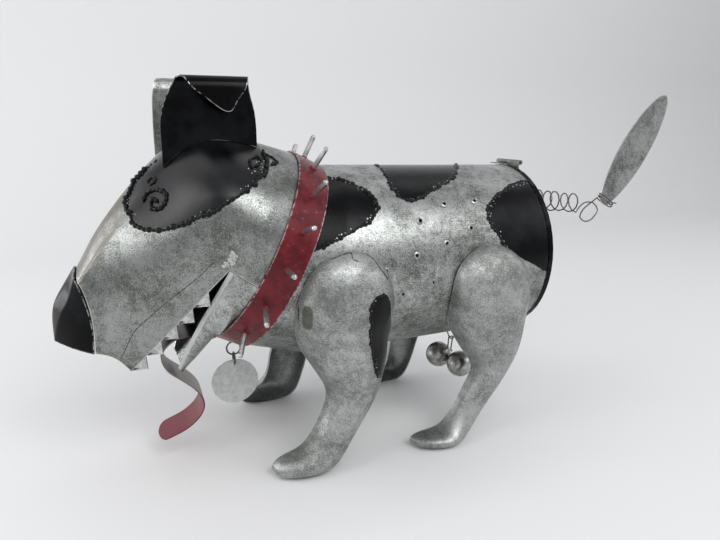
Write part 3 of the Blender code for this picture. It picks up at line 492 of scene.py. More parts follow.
def steel_fields(shader):
    """Patina of the bare sheet: (colour, roughness, fine grain, tone)."""
    drift = shader.noise(DRIFT_SCALE, 3.0, 0.6)
    clouds = shader.noise(CLOUD_SCALE, 5.0, 0.66, distortion=0.5)
    mottle = shader.noise(MOTTLE_SCALE, 5.0, 0.68)
    speck = shader.noise(SPECK_SCALE, 3.0, 0.75)
    along = shader.noise(HAIR_SCALE, 2.0, 0.6, stretch=(HAIR_STRETCH, 1.0, 1.0))
    upright = shader.noise(HAIR_SCALE, 2.0, 0.6, stretch=(1.0, 1.0, HAIR_STRETCH))
    tone = shader.add(shader.times(clouds, CLOUD_SHARE), shader.times(mottle, MOTTLE_SHARE))
    tone = shader.add(tone, shader.times(speck, SPECK_SHARE))
    tone = shader.add(tone, shader.times(drift, DRIFT_SHARE))
    colour = shader.mix(shader.steps(tone, *LIGHT_TONES), STEEL_MID, STEEL_LIGHT)
    dark = shader.times(shader.steps(tone, *DARK_TONES), DARK_SHARE)
    colour = shader.mix(dark, colour, STEEL_DARK)
    hairs = shader.larger(shader.steps(along, *HAIR_TONES), shader.steps(upright, *HAIR_TONES))
    colour = shader.mix(shader.times(hairs, HAIR_SHARE), colour, STEEL_HAIR)
    roughness = shader.blend(shader.steps(tone, *SHINY_TONES), *STEEL_ROUGHNESS)
    return colour, roughness, speck, tone


def make_steel(name, fields=(), gloss=0.15, dull=0.0, tone_and_light_share=0.0, tone_and_light_colour=STEEL_DARK):
    """Weathered sheet steel: its paint's gloss, how much rougher, and how far its colour is shifted to
    another colour, which paints shade on the head and a floor reflection on the legs.

    Each named field is a distance in millimetres, above zero where it applies.
    """
    shader = Shader(name)
    colour, roughness, grain, tone = steel_fields(shader)
    roughness = shader.add(roughness, dull)
    # Colour shifted to another colour: painted shade on the head, painted floor reflection on the legs
    colour = shader.mix(tone_and_light_share, colour, tone_and_light_colour)
    metal = STEEL_METAL
    # Painted shade: the head's top panel darkened to grey-brown
    if "panel" in fields:
        shade = shader.steps(shader.attribute("panel"), -0.6, 0.6, 0.0, 0.62)
        colour = shader.mix(shade, colour, PANEL_PAINTED_SHADE)
    if "hem" in fields:
        polished = shader.steps(shader.attribute("hem"), -0.3, 0.3, 0.0, 0.75)
        colour = shader.mix(polished, colour, STEEL_HAIR)
    if "stain" in fields:
        green = shader.steps(shader.attribute("stain"), -0.8, 0.8, 0.0, 0.75)
        colour = shader.mix(green, colour, STAIN_GREEN)
    if "rim" in fields:
        worn = shader.steps(shader.attribute("rim"), 0.9, 0.25)
        colour = shader.mix(shader.times(worn, 0.6), colour, STEEL_RIM)
    if "paint" in fields:
        wobble = shader.times(shader.add(shader.noise(EDGE_SCALE, 3.0, 0.7), -0.5), EDGE_WOBBLE)
        field = shader.add(shader.attribute("paint"), wobble)
        covered = shader.steps(field, -EDGE_BLUR, EDGE_BLUR)
        smear = shader.noise(SMEAR_SCALE, 4.0, 0.6)
        black = shader.mix(shader.steps(smear, *SMEARED_TONES), BLACK, BLACK_SMEARED)
        colour = shader.mix(covered, colour, black)
        roughness = shader.blend(covered, roughness, shader.blend(smear, *COAT_ROUGHNESS))
        metal = shader.blend(covered, STEEL_METAL, 0.0)
    shader.set("Base Color", colour)
    shader.set("Roughness", roughness)
    shader.set("Metallic", metal)
    shader.set("Specular IOR Level", gloss)
    shader.bump(shader.add(grain, shader.times(tone, 1.5)), STEEL_BUMP, 0.30)
    return shader.material


def make_black(name, worn_rim=True, worn_above=0.0):
    """Black paint, worn to the steel at its sheet's edges higher than worn_above."""
    shader = Shader(name)
    smear = shader.noise(SMEAR_SCALE, 4.0, 0.6)
    colour = shader.mix(shader.steps(smear, 0.42, 0.70), BLACK, BLACK_SMEARED)
    metal = 0.0
    if worn_rim:
        worn = shader.steps(shader.attribute("rim"), 0.75, 0.25)
        chips = shader.steps(shader.noise(260.0, 3.0, 0.6), 0.40, 0.58)
        higher = shader.steps(shader.height(), worn_above, worn_above + TURN_BLUR)
        bare = shader.times(shader.times(worn, chips), higher)
        colour = shader.mix(bare, colour, CHIPPED_STEEL)
        metal = shader.blend(bare, 0.0, CHIP_METAL)
    shader.set("Base Color", colour)
    shader.set("Metallic", metal)
    shader.set("Roughness", shader.blend(smear, *BLACK_ROUGHNESS))
    shader.set("Specular IOR Level", PAINT_SPECULAR)
    shader.bump(shader.noise(420.0, 3.0, 0.6), 0.0002, 0.2)
    return shader.material


def make_weld(name, colour, metal, roughness):
    """Rough weld metal, or paint over it."""
    shader = Shader(name)
    grain = shader.noise(900.0, 3.0, 0.7)
    lighter = tuple(min(part * 2.2 + 0.004, 1.0) for part in colour)
    shader.set("Base Color", shader.mix(shader.steps(grain, 0.45, 0.75), colour, lighter))
    shader.set("Metallic", metal)
    shader.set("Roughness", roughness)
    shader.set("Specular IOR Level", WELD_SPECULAR)
    shader.bump(grain, 0.0003, 0.5)
    return shader.material


def make_red(name):
    """Smeared red paint, chipped at the collar's edges and scuffed."""
    shader = Shader(name)
    smear = shader.noise(60.0, 4.0, 0.6)
    streak = shader.noise(240.0, 4.0, 0.65)
    colour = shader.mix(shader.steps(smear, 0.35, 0.70), (0.080, 0.004, 0.008), (0.175, 0.010, 0.018))
    worn = shader.steps(shader.attribute("rim"), 1.0, 0.4)
    chips = shader.steps(streak, 0.42, 0.56)
    scuffs = shader.times(shader.steps(streak, 0.64, 0.70), 0.5)
    bare = shader.larger(shader.times(worn, chips), scuffs)
    shader.set("Base Color", shader.mix(bare, colour, (0.42, 0.34, 0.33)))
    shader.set("Metallic", shader.blend(bare, 0.05, 0.8))
    shader.set("Roughness", shader.blend(smear, 0.18, 0.38))
    shader.set("Specular IOR Level", 0.3)
    shader.bump(streak, 0.0003, 0.3)
    return shader.material


def make_tongue(name, turn_height):
    """Red paint below turn_height, and above it grey-brown with a metal look: painted reflection and shade
    on the red paint.
    """
    shader = Shader(name)
    smear = shader.noise(70.0, 4.0, 0.6)
    height = shader.add(shader.height(), shader.times(shader.add(smear, -0.5), 0.02))
    # bare marks the painted grey reflection and shade above turn_height, not bared steel
    bare = shader.steps(height, turn_height - TURN_BLUR, turn_height + TURN_BLUR)
    red = shader.mix(smear, (0.12, 0.009, 0.018), (0.22, 0.030, 0.042))
    brown = shader.mix(smear, (0.12, 0.105, 0.098), (0.23, 0.205, 0.19))
    shader.set("Base Color", shader.mix(bare, red, brown))
    shader.set("Metallic", shader.blend(bare, 0.25, 0.7))
    shader.set("Roughness", 0.36)
    shader.bump(shader.noise(300.0, 3.0, 0.6), 0.0003, 0.3)
    return shader.material


def make_bright(name, colour, roughness, metal, shade=0.62):
    """Bright bare metal with darker mottling, shade times its colour."""
    shader = Shader(name)
    mottle = shader.noise(160.0, 4.0, 0.65)
    darker = tuple(part * shade for part in colour)
    shader.set("Base Color", shader.mix(shader.steps(mottle, 0.38, 0.60), darker, colour))
    shader.set("Metallic", metal)
    shader.set("Roughness", shader.blend(mottle, roughness + 0.1, roughness - 0.1))
    shader.bump(shader.noise(500.0, 3.0, 0.6), 0.0002, 0.3)
    return shader.material


def shown(name, data):
    """A new object in the scene."""
    made = bpy.data.objects.new(name, data)
    bpy.context.scene.collection.objects.link(made)
    return made


def add_mesh(name, points, faces, surface, body, angle):
    """A new piece of its own that rides on a body."""
    mesh = bpy.data.meshes.new(name)
    mesh.from_pydata(points, [], faces)
    mesh.materials.append(surface)
    mesh.shade_smooth()
    mesh.set_sharp_from_angle(angle=math.radians(angle))
    piece = shown(name, mesh)
    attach(piece, body)
    return piece


def subdivided(piece):
    """The piece's mesh with its modifiers applied."""
    bpy.context.view_layer.update()
    graph = bpy.context.evaluated_depsgraph_get()
    graph.update()
    return bpy.data.meshes.new_from_object(piece.evaluated_get(graph))


def cage_of(node, sharp, fold):
    """The CAD node's mesh in larger faces, creased at its sharp edges and folds."""
    cage = bmesh.new()
    cage.from_mesh(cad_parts[node].data)
    bmesh.ops.remove_doubles(cage, verts=cage.verts, dist=SAME_PLACE)
    bmesh.ops.join_triangles(
        cage,
        faces=cage.faces,
        angle_face_threshold=math.radians(JOIN_FACE_ANGLE),
        angle_shape_threshold=math.radians(JOIN_SHAPE_ANGLE),
    )
    crease = cage.edges.layers.float.new("crease_edge")
    for edge in cage.edges:
        gaps = [min((vertex.co - place).length for place in fold) for vertex in edge.verts] if fold else []
        turned = len(edge.link_faces) == 2 and edge.calc_face_angle() > math.radians(sharp)
        if turned or (fold and max(gaps) < FOLD_REACH):
            edge[crease] = 1.0
    mesh = bpy.data.meshes.new(node + "_cage")
    cage.to_mesh(mesh)
    cage.free()
    return mesh


def smoothed(cage, levels):
    """The cage subdivided, its own vertices nearly in place, and nothing outside its box."""
    rough = shown(cage.name, cage)
    modifier = rough.modifiers.new("smooth", "SUBSURF")
    modifier.levels = levels
    modifier.render_levels = levels
    wanted = vertices_of(cage)
    cage_points = wanted.copy()
    for _ in range(CAGE_ROUNDS):
        shrunk = vertices_of(subdivided(rough))[: len(wanted)]
        cage_points += CAGE_SHARE * (wanted - shrunk)
        cage.vertices.foreach_set("co", cage_points.ravel())
        cage.update()
    smooth = subdivided(rough)
    bpy.data.objects.remove(rough)
    held = np.clip(vertices_of(smooth), wanted.min(axis=0), wanted.max(axis=0))
    smooth.vertices.foreach_set("co", held.ravel())
    smooth.update()
    return smooth


def refined(node, levels, surface, body=DOG, sharp=SHARP_ANGLE, fold=()):
    """A smoother piece in place of a CAD node, subdivided between its sharp edges and folds."""
    smooth = smoothed(cage_of(node, sharp, fold), levels)
    smooth.name = node + "_fine"
    smooth.materials.clear()
    smooth.materials.append(surface)
    smooth.shade_smooth()
    smooth.set_sharp_from_angle(angle=math.radians(SHADE_ANGLE))
    write_field(smooth, "rim", rim_distance(smooth, sharp))
    piece = shown(node + "_fine", smooth)
    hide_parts(node)
    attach(piece, body)
    return piece


def rim_distance(mesh, sharp):
    """Distance of each vertex from the sharp edges, in millimetres."""
    shape = bmesh.new()
    shape.from_mesh(mesh)
    rims = set()
    for edge in shape.edges:
        if len(edge.link_faces) == 2 and edge.calc_face_angle() > math.radians(sharp):
            first, second = (vertex.co.copy() for vertex in edge.verts)
            rims.update(first.lerp(second, share).freeze() for share in RIM_SHARES)
    rims = sorted(rims, key=tuple)
    found = KDTree(len(rims))
    for index, place in enumerate(rims):
        found.insert(place, index)
    found.balance()
    gaps = [found.find(vertex.co)[2] / MM if rims else NO_RIM_MM for vertex in shape.verts]
    shape.free()
    return gaps


def write_field(mesh, name, values):
    """One number for each vertex, under a name that the materials read."""
    field = mesh.attributes.get(name) or mesh.attributes.new(name, "FLOAT", "POINT")
    field.data.foreach_set("value", np.array(values, dtype=np.float32))


def inside_distance(outline, places):
    """Signed distance of each place from a closed outline in a plane, positive inside."""
    u, v = places[:, 0], places[:, 1]
    best = np.full(len(places), 1e9)
    inside = np.zeros(len(places), bool)
    for (ax, ay), (bx, by) in zip(outline, outline[1:] + outline[:1]):
        rise = by - ay if by != ay else 1e-12
        inside ^= ((ay > v) != (by > v)) & (u < (bx - ax) * (v - ay) / rise + ax)
        dx, dy = bx - ax, by - ay
        share = np.clip(((u - ax) * dx + (v - ay) * dy) / (dx * dx + dy * dy + 1e-18), 0.0, 1.0)
        best = np.minimum(best, np.hypot(u - ax - dx * share, v - ay - dy * share))
    return np.where(inside, best, -best)


def rounded(outline, step):
    """A closed outline in a plane, made smooth."""
    path = smooth_path([Vector((u, v, 0.0)) for u, v in outline], step, True)
    return [(point.x, point.y) for point in path]


def vertices_of(mesh):
    """Places of a mesh's vertices as an array."""
    points = np.empty(len(mesh.vertices) * 3)
    mesh.vertices.foreach_get("co", points)
    return points.reshape(-1, 3)


def pixel_field(piece, tree, outline, mirrored=False):
    """How far inside an outline of pixels each vertex in sight lies, in millimetres."""
    points = vertices_of(piece.data)
    outline = rounded(outline, PIXEL_STEP)
    field = np.full(len(points), OUTSIDE_MM)
    for side in (1.0, -1.0) if mirrored else (1.0,):
        places = points.copy()
        places[:, 1] = BARREL_Y + side * (places[:, 1] - BARREL_Y)
        pixels, depth = pixels_of(places)
        inner = inside_distance(outline, pixels) * depth / FOCAL_PIXELS / MM
        for index in np.nonzero(inner > NEAR_OUTLINE_MM)[0]:
            ray = Vector(places[index]) - CAMERA_PLACE
            gap = ray.length
            hit = tree.ray_cast(CAMERA_PLACE, ray.normalized())[3]
            if hit is None or hit > gap - HIDDEN_DEPTH:
                field[index] = max(field[index], inner[index])
    return field


def unrolled(points):
    """Places on the barrel as (x, arc up from its near side)."""
    points = np.asarray(points)
    angle = np.arctan2(points[:, 2] - AXIS_HEIGHT, BARREL_Y - points[:, 1])
    return np.stack((points[:, 0], REAR_RADIUS * angle), 1)


def barrel_field(piece, outlines):
    """How far inside any of the outlines, laid on the barrel, each vertex lies, in millimetres."""
    places = unrolled(vertices_of(piece.data))
    field = np.full(len(places), OUTSIDE_MM)
    for outline in outlines:
        field = np.maximum(field, inside_distance(rounded(outline, OUTLINE_STEP), places) / MM)
    return field


def spots(tree, pixels):
    """Places on a surface behind some pixels of the photograph."""
    return [on_surface(tree, pixel)[0] for pixel in pixels]


class Beads:
    """Weld beads, lumps and rims gathered into one mesh."""

    def __init__(self):
        self.points = []
        self.faces = []

    def ring(self, centre, axes, radii, lifts):
        """A closed row of points around a centre, each with its radius and its lift."""
        side, other, normal = axes
        for step, (radius, lift) in enumerate(zip(radii, lifts)):
            angle = math.tau * step / len(radii)
            self.points.append(
                centre + side * radius * math.cos(angle) + other * radius * math.sin(angle) + normal * lift
            )

    def bands(self, start, sides, rows, closed=False):
        """Faces between rows of points, back to the first row where closed."""
        for row in range(rows if closed else rows - 1):
            below = start + row * sides
            above = start + (row + 1) % rows * sides
            for step in range(sides):
                following = (step + 1) % sides
                self.faces.append((below + step, below + following, above + following, above + step))

    def caps(self, start, sides, rows):
        """Faces that close the first and the last row of points."""
        self.faces.append(tuple(start + step for step in reversed(range(sides))))
        last = start + (rows - 1) * sides
        self.faces.append(tuple(last + step for step in range(sides)))

    def run(self, tree, path, seed, width, height, pitch, lift=0.0, ragged=0.25, closed=False):
        """A rippled bead laid along a path of points on a surface."""
        dice = random.Random(seed)
        spaced = smooth_path(path, width * BEAD_STEP, closed)
        rings = len(spaced)
        start = len(self.points)
        wander = 0.0
        phase = 0.0
        swell = 1.0
        for index, here in enumerate(spaced):
            before = spaced[index - 1] if index else spaced[-2] if closed else here
            after = spaced[(index + 1) % rings] if closed or index < rings - 1 else here
            along = (after - before).normalized()
            near, normal, _, _ = tree.find_nearest(here)
            across = along.cross(normal).normalized()
            if index:
                phase += (here - spaced[index - 1]).length / pitch
                if phase >= 1.0:
                    phase -= 1.0
                    swell = 1.0 + ragged * (dice.random() - 0.5) * 2
                    wander = ragged * width * (dice.random() - 0.5)
            wave = math.sin(math.pi * min(max(phase, RIPPLE_EDGE), 1.0 - RIPPLE_EDGE))
            ripple = RIPPLE_MIDDLE + RIPPLE_DEPTH * wave
            end = 1.0 if closed else min(1.0, BEAD_TAPER + min(index, rings - 1 - index) * BEAD_TAPER)
            size = width / 2 * ripple * swell * end
            centre = near + across * wander + normal * lift
            for step in range(BEAD_SIDES):
                angle = math.tau * step / BEAD_SIDES
                self.points.append(
                    centre + across * size * math.cos(angle) + normal * size * height * math.sin(angle) * 2
                )
        self.bands(start, BEAD_SIDES, rings, closed)
        if not closed:
            self.caps(start, BEAD_SIDES, rings)

    def scatter(self, tree, path, seed, count, spread, smallest, largest, rise=0.5):
        """Small lumps strewn along a path on a surface."""
        dice = random.Random(seed)
        spaced = smooth_path(path, SCATTER_STEP, False)
        for index in range(count):
            place = dice.choice(spaced)
            shift = Vector(tuple(dice.uniform(-spread, spread) for _ in range(3)))
            near, normal, _, _ = tree.find_nearest(place + shift)
            radius = dice.uniform(smallest, largest)
            self.blob(near, normal, radius, radius * rise, seed * 100 + index)

    def blob(self, centre, normal, radius, height, seed):
        """A low uneven lump of weld."""
        dice = random.Random(seed)
        side = normal.orthogonal().normalized()
        axes = (side, normal.cross(side), normal)
        start = len(self.points)
        shape = [1.0 + LUMP_UNEVEN * (dice.random() - 0.5) for _ in range(LUMP_SIDES)]
        for share, rise in LUMP_ROWS:
            self.ring(centre, axes, [radius * share * part for part in shape], [height * rise] * LUMP_SIDES)
        self.bands(start, LUMP_SIDES, len(LUMP_ROWS))
        self.caps(start, LUMP_SIDES, len(LUMP_ROWS))

    def crater(self, centre, normal, inner, rim, seed):
        """The torn raised rim of a punched hole."""
        dice = random.Random(seed)
        side = normal.orthogonal().normalized()
        axes = (side, normal.cross(side), normal)
        start = len(self.points)
        jag = [0.75 + 0.6 * dice.random() for _ in range(RIM_SIDES)]
        rows = (
            (inner * 0.86, -0.9),
            (inner * 0.9, 0.1),
            (inner + rim * 0.25, 0.75),
            (inner + rim * 0.6, 0.45),
            (inner + rim, -0.25),
        )
        for radius, rise in rows:
            lifts = [rim * RIM_HEIGHT * rise * (part if rise > 0 else 1.0) for part in jag]
            self.ring(centre, axes, [radius] * RIM_SIDES, lifts)
        self.bands(start, RIM_SIDES, len(rows), True)

    def piece(self, name, surface, slot, body=DOG):
        """The gathered mesh as one piece."""
        made = add_mesh(name, self.points, self.faces, surface, body, BEAD_SHADE_ANGLE)
        mesh = bmesh.new()
        mesh.from_mesh(made.data)
        bmesh.ops.recalc_face_normals(mesh, faces=mesh.faces)
        mesh.to_mesh(made.data)
        mesh.free()
        return made


def barrel_radius(x):
    """Radius of the barrel's sheet at x from its rear end."""
    return REAR_RADIUS + (FRONT_RADIUS - REAR_RADIUS) * min(-x / BARREL_TOP_LENGTH, 1.0)


def neck_point(angle, radius, along):
    """Place around the tilted neck's axis, along it from the neck's middle."""
    axis = Vector((-math.cos(NECK_TILT), 0.0, math.sin(NECK_TILT)))
    upward = Vector((math.sin(NECK_TILT), 0.0, math.cos(NECK_TILT)))
    sideways = Vector((0.0, 1.0, 0.0))
    return NECK + axis * along + radius * (math.sin(angle) * upward + math.cos(angle) * sideways)


def barrel_rows():
    """Rows of places on the barrel's outside, from its rear end to under the collar."""
    angles = [math.tau * step / BARREL_COLUMNS for step in range(BARREL_COLUMNS)]
    rows = []
    for step in range(BARREL_ROWS + 1):
        share = step / BARREL_ROWS
        row = []
        for angle in angles:
            lean = 0.5 - 0.5 * math.sin(angle)
            x = -share * (BARREL_TOP_LENGTH + (BARREL_BOTTOM_LENGTH - BARREL_TOP_LENGTH) * lean)
            y = BARREL_Y + barrel_radius(x) * math.cos(angle)
            z = AXIS_HEIGHT + barrel_radius(x) * math.sin(angle)
            row.append(Vector((x + BARREL_REAR_X, y, z)))
        rows.append(row)
    last = rows[-1]
    neck = [neck_point(angle, NECK_RADIUS, -NECK_SINK) for angle in angles]
    for step in range(1, NECK_ROWS + 1):
        share = step / NECK_ROWS
        rows.append([start.lerp(end, share) for start, end in zip(last, neck)])
    rows.append([neck_point(angle, NECK_RADIUS, COLLAR_WIDTH / 2 - NECK_SINK) for angle in angles])
    return rows


def barrel(surface, holes):
    """The barrel with its punched holes cut through the sheet."""
    rows = barrel_rows()
    mesh = bmesh.new()
    grid = [[mesh.verts.new(point) for point in row] for row in rows]
    for row in range(len(rows) - 1):
        for step in range(BARREL_COLUMNS):
            following = (step + 1) % BARREL_COLUMNS
            below, above = grid[row], grid[row + 1]
            mesh.faces.new((below[step], below[following], above[following], above[step]))
    gone = []
    for face in mesh.faces:
        if any((face.calc_center_median() - hole).length < HOLE_RADIUS for hole, _ in holes):
            gone.append(face)
    bmesh.ops.delete(mesh, geom=gone, context="FACES")
    bmesh.ops.recalc_face_normals(mesh, faces=mesh.faces)
    data = bpy.data.meshes.new("body_barrel_fine")
    mesh.to_mesh(data)
    mesh.free()
    made = shown("body_barrel_fine", data)
    data.materials.append(surface)
    data.shade_smooth()
    wall = made.modifiers.new("wall", "SOLIDIFY")
    wall.thickness = SHEET
    wall.offset = -1.0
    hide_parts("body_barrel")
    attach(made, DOG)
    return made


def plain_tree(rows):
    """Search tree of a closed tube given by rows of places."""
    points = [point for row in rows for point in row]
    faces = []
    columns = len(rows[0])
    for row in range(len(rows) - 1):
        for step in range(columns):
            a = row * columns + step
            b = row * columns + (step + 1) % columns
            faces.append((a, b, b + columns, a + columns))
    return BVHTree.FromPolygons(points, faces)


def make_floor():
    """Pale floor that curves up into a plain wall behind."""
    profile = [(FLOOR_FRONT, 0.0), (FLOOR_BACK, 0.0)]
    for step in range(1, FLOOR_CURVE_STEPS + 1):
        angle = math.pi / 2 * step / FLOOR_CURVE_STEPS
        across = FLOOR_BACK + FLOOR_CURVE * math.sin(angle)
        profile.append((across, FLOOR_CURVE - FLOOR_CURVE * math.cos(angle)))
    profile.append((FLOOR_BACK + FLOOR_CURVE, WALL_TOP))
    points = [(x, y, z) for y, z in profile for x in (-FLOOR_HALF_WIDTH, FLOOR_HALF_WIDTH)]
    faces = [(2 * step, 2 * step + 1, 2 * step + 3, 2 * step + 2) for step in range(len(profile) - 1)]
    shader = Shader("pale_floor")
    shader.set("Base Color", FLOOR_COLOUR)
    shader.set("Roughness", FLOOR_ROUGHNESS)
    mesh = bpy.data.meshes.new("floor")
    mesh.from_pydata(points, [], faces)
    mesh.materials.append(shader.material)
    mesh.shade_smooth()
    floor = shown("floor", mesh)


def add_light(name, place, target, size, power):
    """A rectangular light at a place, aimed at a target."""
    data = bpy.data.lights.new(name, "AREA")
    data.shape = "RECTANGLE"
    data.size, data.size_y = size
    data.energy = power
    light = shown(name, data)
    light.location = place
    light.rotation_mode = "QUATERNION"
    light.rotation_quaternion = (Vector(target) - Vector(place)).to_track_quat("-Z", "Y")


def make_lights():
    """The studio's lights and its pale sky."""
    for light in LIGHTS:
        add_light(*light)
    world = bpy.data.worlds.new("studio")
    world.use_nodes = True
    background = world.node_tree.nodes["Background"]
    background.inputs["Color"].default_value = SKY_COLOUR
    background.inputs["Strength"].default_value = SKY_STRENGTH
    bpy.context.scene.world = world
    bpy.context.scene.view_settings.view_transform = "Standard"


def make_camera():
    """The camera that took the photograph."""
    right, up, forward = camera_axes()
    data = bpy.data.cameras.new("camera")
    data.sensor_fit = "HORIZONTAL"
    data.sensor_width = SENSOR_WIDTH
    data.lens = SENSOR_WIDTH * FOCAL_PIXELS / PHOTO_WIDTH
    data.clip_start = NEAREST_SEEN
    camera = shown("camera", data)
    camera.matrix_world = Matrix(
        (
            (right.x, up.x, -forward.x, CAMERA_PLACE.x),
            (right.y, up.y, -forward.y, CAMERA_PLACE.y),
            (right.z, up.z, -forward.z, CAMERA_PLACE.z),
            (0.0, 0.0, 0.0, 1.0),
        )
    )
    bpy.context.scene.camera = camera


class Finishes:
    """Every material of the sculpture."""

    def __init__(self):
        self.plain = make_steel("plain_steel", ("rim",))
        self.head = make_steel("head_steel", ("rim", "panel", "paint"), **HEAD_TONE_AND_SHADE)
        self.barrel = make_steel("barrel_steel", ("paint",))
        self.jaw = make_steel("jaw_steel", ("hem",))
        self.leg = make_steel("leg_steel", ("rim", "stain", "paint"), **LEG_DULL_AND_REFLECTION)
        self.dull = make_steel("dull_steel", ("rim",), **LEG_DULL_AND_REFLECTION)
        self.ball = make_bright("ball_steel", (0.46, 0.46, 0.44), 0.30, 0.95)
        self.black = make_black("worn_black")
        self.ear_black = make_black("ear_black", worn_above=EAR_WORN_ABOVE)
        self.lid_black = make_black("lid_black", worn_rim=False)
        self.black_weld = make_weld("black_weld", (0.002, 0.002, 0.0022), 0.0, 0.14)
        self.spatter = make_weld("spatter", (0.40, 0.40, 0.39), 0.85, 0.30)
        self.bright_weld = make_weld("bright_weld", (0.30, 0.30, 0.29), 0.85, 0.36)
        self.brown_weld = make_weld("brown_weld", (0.055, 0.046, 0.038), 0.4, 0.5)
        self.red_weld = make_weld("red_weld", (0.13, 0.006, 0.010), 0.1, 0.26)
        self.red = make_red("worn_red")
        self.tongue = make_tongue("tongue_metal", TONGUE_TURN_HEIGHT)
        self.bright = make_bright("bright_rod", (0.62, 0.63, 0.62), 0.32, 0.95)
        self.leaf = make_bright("leaf_steel", (0.30, 0.30, 0.29), 0.40, 0.9)
        self.pale = make_bright("tag_metal", (0.60, 0.625, 0.60), 0.5, 0.2, 0.82)
        self.rod = make_bright("wire_metal", (0.155, 0.148, 0.135), 0.36, 0.9)


def dress_head(looks):
    """The head with its black eye patch and painted shade on its top panel; gives its search tree."""
    head = refined("head_shell", FINE, looks.head)
    tree = tree_of(head)
    write_field(head.data, "paint", pixel_field(head, tree, EYE_PATCH))
    write_field(head.data, "panel", pixel_field(head, tree, TOP_PANEL, mirrored=True))
    return tree


def dress_barrel(looks):
    """The barrel with its holes and black patches; gives its search tree and the holes."""
    tree = plain_tree(barrel_rows())
    holes = [on_surface(tree, pixel) for pixel in HOLES]
    body = barrel(looks.barrel, holes)
    patches = []
    for pixels in (SHOULDER_PATCH, BACK_PATCH[:BACK_PATCH_SEEN], REAR_PATCH):
        patches.append([tuple(place) for place in unrolled(spots(tree, pixels))])
    patches[1] += [(x + BARREL_REAR_X, REAR_RADIUS * angle) for x, angle in BACK_PATCH_BEYOND]
    write_field(body.data, "paint", barrel_field(body, patches))
    return tree, holes


def dress_front_leg(looks):
    """The near front leg with its black patch and green stain; gives its search tree."""
    leg = refined("leg_front_left", FINE, looks.leg, sharp=ROUND_SHARP_ANGLE)
    tree = tree_of(leg)
    write_field(leg.data, "paint", pixel_field(leg, tree, LEG_PATCH))
    write_field(leg.data, "stain", pixel_field(leg, tree, LEG_STAIN))
    return tree


def dress_others(looks):
    """The other pieces that are smoother than their CAD nodes."""
    jaw = refined("lower_jaw", FINE, looks.jaw)
    write_field(jaw.data, "hem", pixel_field(jaw, tree_of(jaw), JAW_HEM, mirrored=True))
    refined("ear_right", FINE, looks.plain)
    for node in ("leg_front_right", "leg_rear_left", "leg_rear_right"):
        refined(node, FINE, looks.dull, sharp=ROUND_SHARP_ANGLE)
    refined("tail_blade", SMALL, looks.plain, LID)
    refined("ear_left", FINE, looks.ear_black, sharp=ROUND_SHARP_ANGLE)
    ridge = []
    for x, y, z in NOSE_RIDGE:
        for side in (1, -1):
            ridge.append(Vector((BARREL_REAR_X + x, BARREL_Y + side * y, AXIS_HEIGHT + z)))
    refined("nose", FINE, looks.black, fold=ridge)
    refined("collar", SMALL, looks.red)
    refined("tongue", SMALL, looks.tongue)
    for node in ("ball_front", "ball_rear"):
        refined(node, SMALL, looks.ball)


def finish_small_nodes(looks):
    """Better materials on the CAD nodes that are shown as they are; gives the spikes' names."""
    for surface, nodes in (
        (looks.bright, ("teeth_left", "teeth_right")),
        (looks.pale, ("tag_disc",)),
        (looks.leaf, ("hinge_leaf_body", "hinge_leaf_lid")),
        (looks.lid_black, ("rear_lid",)),
        (looks.rod, ("hinge_pin", "tag_ring_upper", "tag_ring_lower", "belly_ring")),
        (looks.rod, ("ball_wire", "tail_spring")),
    ):
        for node in nodes:
            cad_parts[node].data.materials[0] = surface
    spikes = [node for node in sorted(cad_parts) if node.startswith("collar_spike")]
    for node in spikes:
        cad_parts[node].data.materials[0] = looks.bright
    return spikes


def add_patch_welds(looks, trees, eye_edge, barrel_edges, leg_edge):
    """Painted beads around the patches, on the eyes and at the near ear."""
    head_tree, barrel_tree, leg_tree = trees
    beads = Beads()
    beads.run(head_tree, eye_edge, 1, *EYE_EDGE_BEAD)
    eye = spots(head_tree, EYE_SPIRAL)
    beads.run(head_tree, eye, 2, *SPIRAL_BEAD)
    far_eye = [Vector((place.x, 2 * BARREL_Y - place.y, place.z)) for place in eye]
    beads.run(head_tree, far_eye, 3, *SPIRAL_BEAD)
    beads.run(head_tree, spots(head_tree, BROW_RING), 4, *RING_BEAD, closed=True)
    for index, path in enumerate(barrel_edges):
        beads.run(barrel_tree, path, 5 + index, *BARREL_BEAD)
    beads.run(leg_tree, leg_edge, 9, *LEG_BEAD)
    beads.scatter(head_tree, spots(head_tree, EAR_WELD_REAR), 10, *EAR_REAR_LUMPS)
    beads.scatter(head_tree, spots(head_tree, EAR_WELD_FRONT), 11, *EAR_FRONT_LUMPS)
    for index, pixels in enumerate(EAR_LOOPS):
        beads.run(head_tree, spots(head_tree, pixels), 12 + index, *LOOP_BEAD)
    beads.piece("patch_welds", looks.black_weld, "black_paint")


def add_hole_rims(looks, tree, holes):
    """Raised rims of the punched holes, and single weld blobs on the barrel."""
    nicks = Beads()
    for index, (place, normal) in enumerate(holes):
        nicks.crater(place, normal, HOLE_RADIUS * HOLE_RIM_START, HOLE_RIM, 20 + index)
    for index, pixel in enumerate(BLOBS):
        place, normal = on_surface(tree, pixel)
        nicks.blob(place, normal, BLOB_RADIUS, BLOB_HEIGHT, 40 + index)
    nicks.piece("punched_rims", looks.bright_weld, "bright_steel")


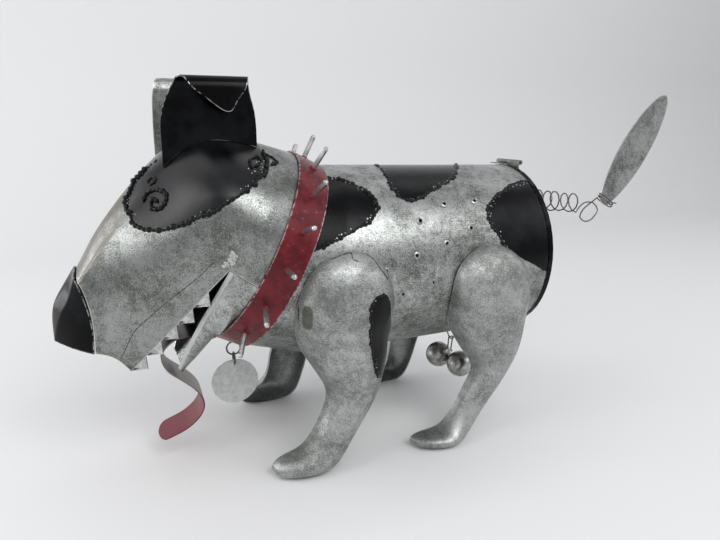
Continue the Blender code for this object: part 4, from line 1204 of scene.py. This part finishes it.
def add_spatter(looks, trees, eye_edge, barrel_edges, leg_edge):
    """Bright sparks beside the beads, and the bare weld at the corner of the mouth."""
    head_tree, barrel_tree, leg_tree = trees
    sparks = Beads()
    sparks.scatter(head_tree, eye_edge, 50, *EYE_SPARKS)
    for index, path in enumerate(barrel_edges):
        sparks.scatter(barrel_tree, path, 51 + index, *BARREL_SPARKS)
    sparks.scatter(leg_tree, leg_edge, 55, *LEG_SPARKS)
    sparks.scatter(head_tree, spots(head_tree, EAR_WELD_REAR), 56, *EAR_SPARKS)
    sparks.scatter(head_tree, spots(head_tree, MOUTH_WELD), 57, *MOUTH_LUMPS)
    sparks.piece("weld_spatter", looks.spatter, "bright_steel")


def add_seam_lines(looks, head_tree, leg_tree):
    """Thin dark lines of the shoulder's seams and marks, and of the snout's seam."""
    lines = Beads()
    for index, pixels in enumerate(LEG_CRACKS):
        lines.run(leg_tree, spots(leg_tree, pixels), 60 + index, *CRACK_BEAD)
    lines.run(leg_tree, spots(leg_tree, LEG_SLIT), 62, *SLIT_BEAD)
    lines.run(leg_tree, spots(leg_tree, LEG_MARK), 63, *MARK_BEAD, closed=True)
    lines.run(head_tree, spots(head_tree, HEAD_SEAM), 64, *SEAM_BEAD)
    lines.piece("seam_lines", looks.brown_weld, "mottled_steel")


def add_spike_welds(looks, spikes):
    """A low painted weld at the foot of each spike."""
    welds = Beads()
    tree = tree_of(bpy.data.objects["collar_fine"])
    for index, node in enumerate(spikes):
        places = [vertex.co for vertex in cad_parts[node].data.vertices]
        gaps = [tree.find_nearest(place)[3] for place in places]
        near = [place for place, gap in zip(places, gaps) if gap < min(gaps) + SPIKE_FOOT]
        base = sum(near, Vector()) / len(near)
        place, normal, _, _ = tree.find_nearest(base)
        welds.blob(place, normal, SPIKE_WELD_RADIUS, SPIKE_WELD_HEIGHT, 70 + index)
    welds.piece("spike_welds", looks.red_weld, "red_paint")


def dress():
    """Every visible piece, its materials and its welds."""
    looks = Finishes()
    head_tree = dress_head(looks)
    barrel_tree, holes = dress_barrel(looks)
    leg_tree = dress_front_leg(looks)
    dress_others(looks)
    spikes = finish_small_nodes(looks)
    trees = (head_tree, barrel_tree, leg_tree)
    eye_edge = spots(head_tree, EYE_BEAD)
    barrel_edges = [
        spots(barrel_tree, SHOULDER_PATCH[:SHOULDER_PATCH_BEAD]),
        spots(barrel_tree, BACK_PATCH[:BACK_PATCH_SEEN]),
        spots(barrel_tree, REAR_PATCH[:REAR_PATCH_BEAD]),
    ]
    leg_edge = spots(leg_tree, LEG_PATCH[:LEG_PATCH_BEAD])
    add_patch_welds(looks, trees, eye_edge, barrel_edges, leg_edge)
    add_hole_rims(looks, barrel_tree, holes)
    add_spatter(looks, trees, eye_edge, barrel_edges, leg_edge)
    add_seam_lines(looks, head_tree, leg_tree)
    add_spike_welds(looks, spikes)


make_camera()
dress()
make_floor()
make_lights()
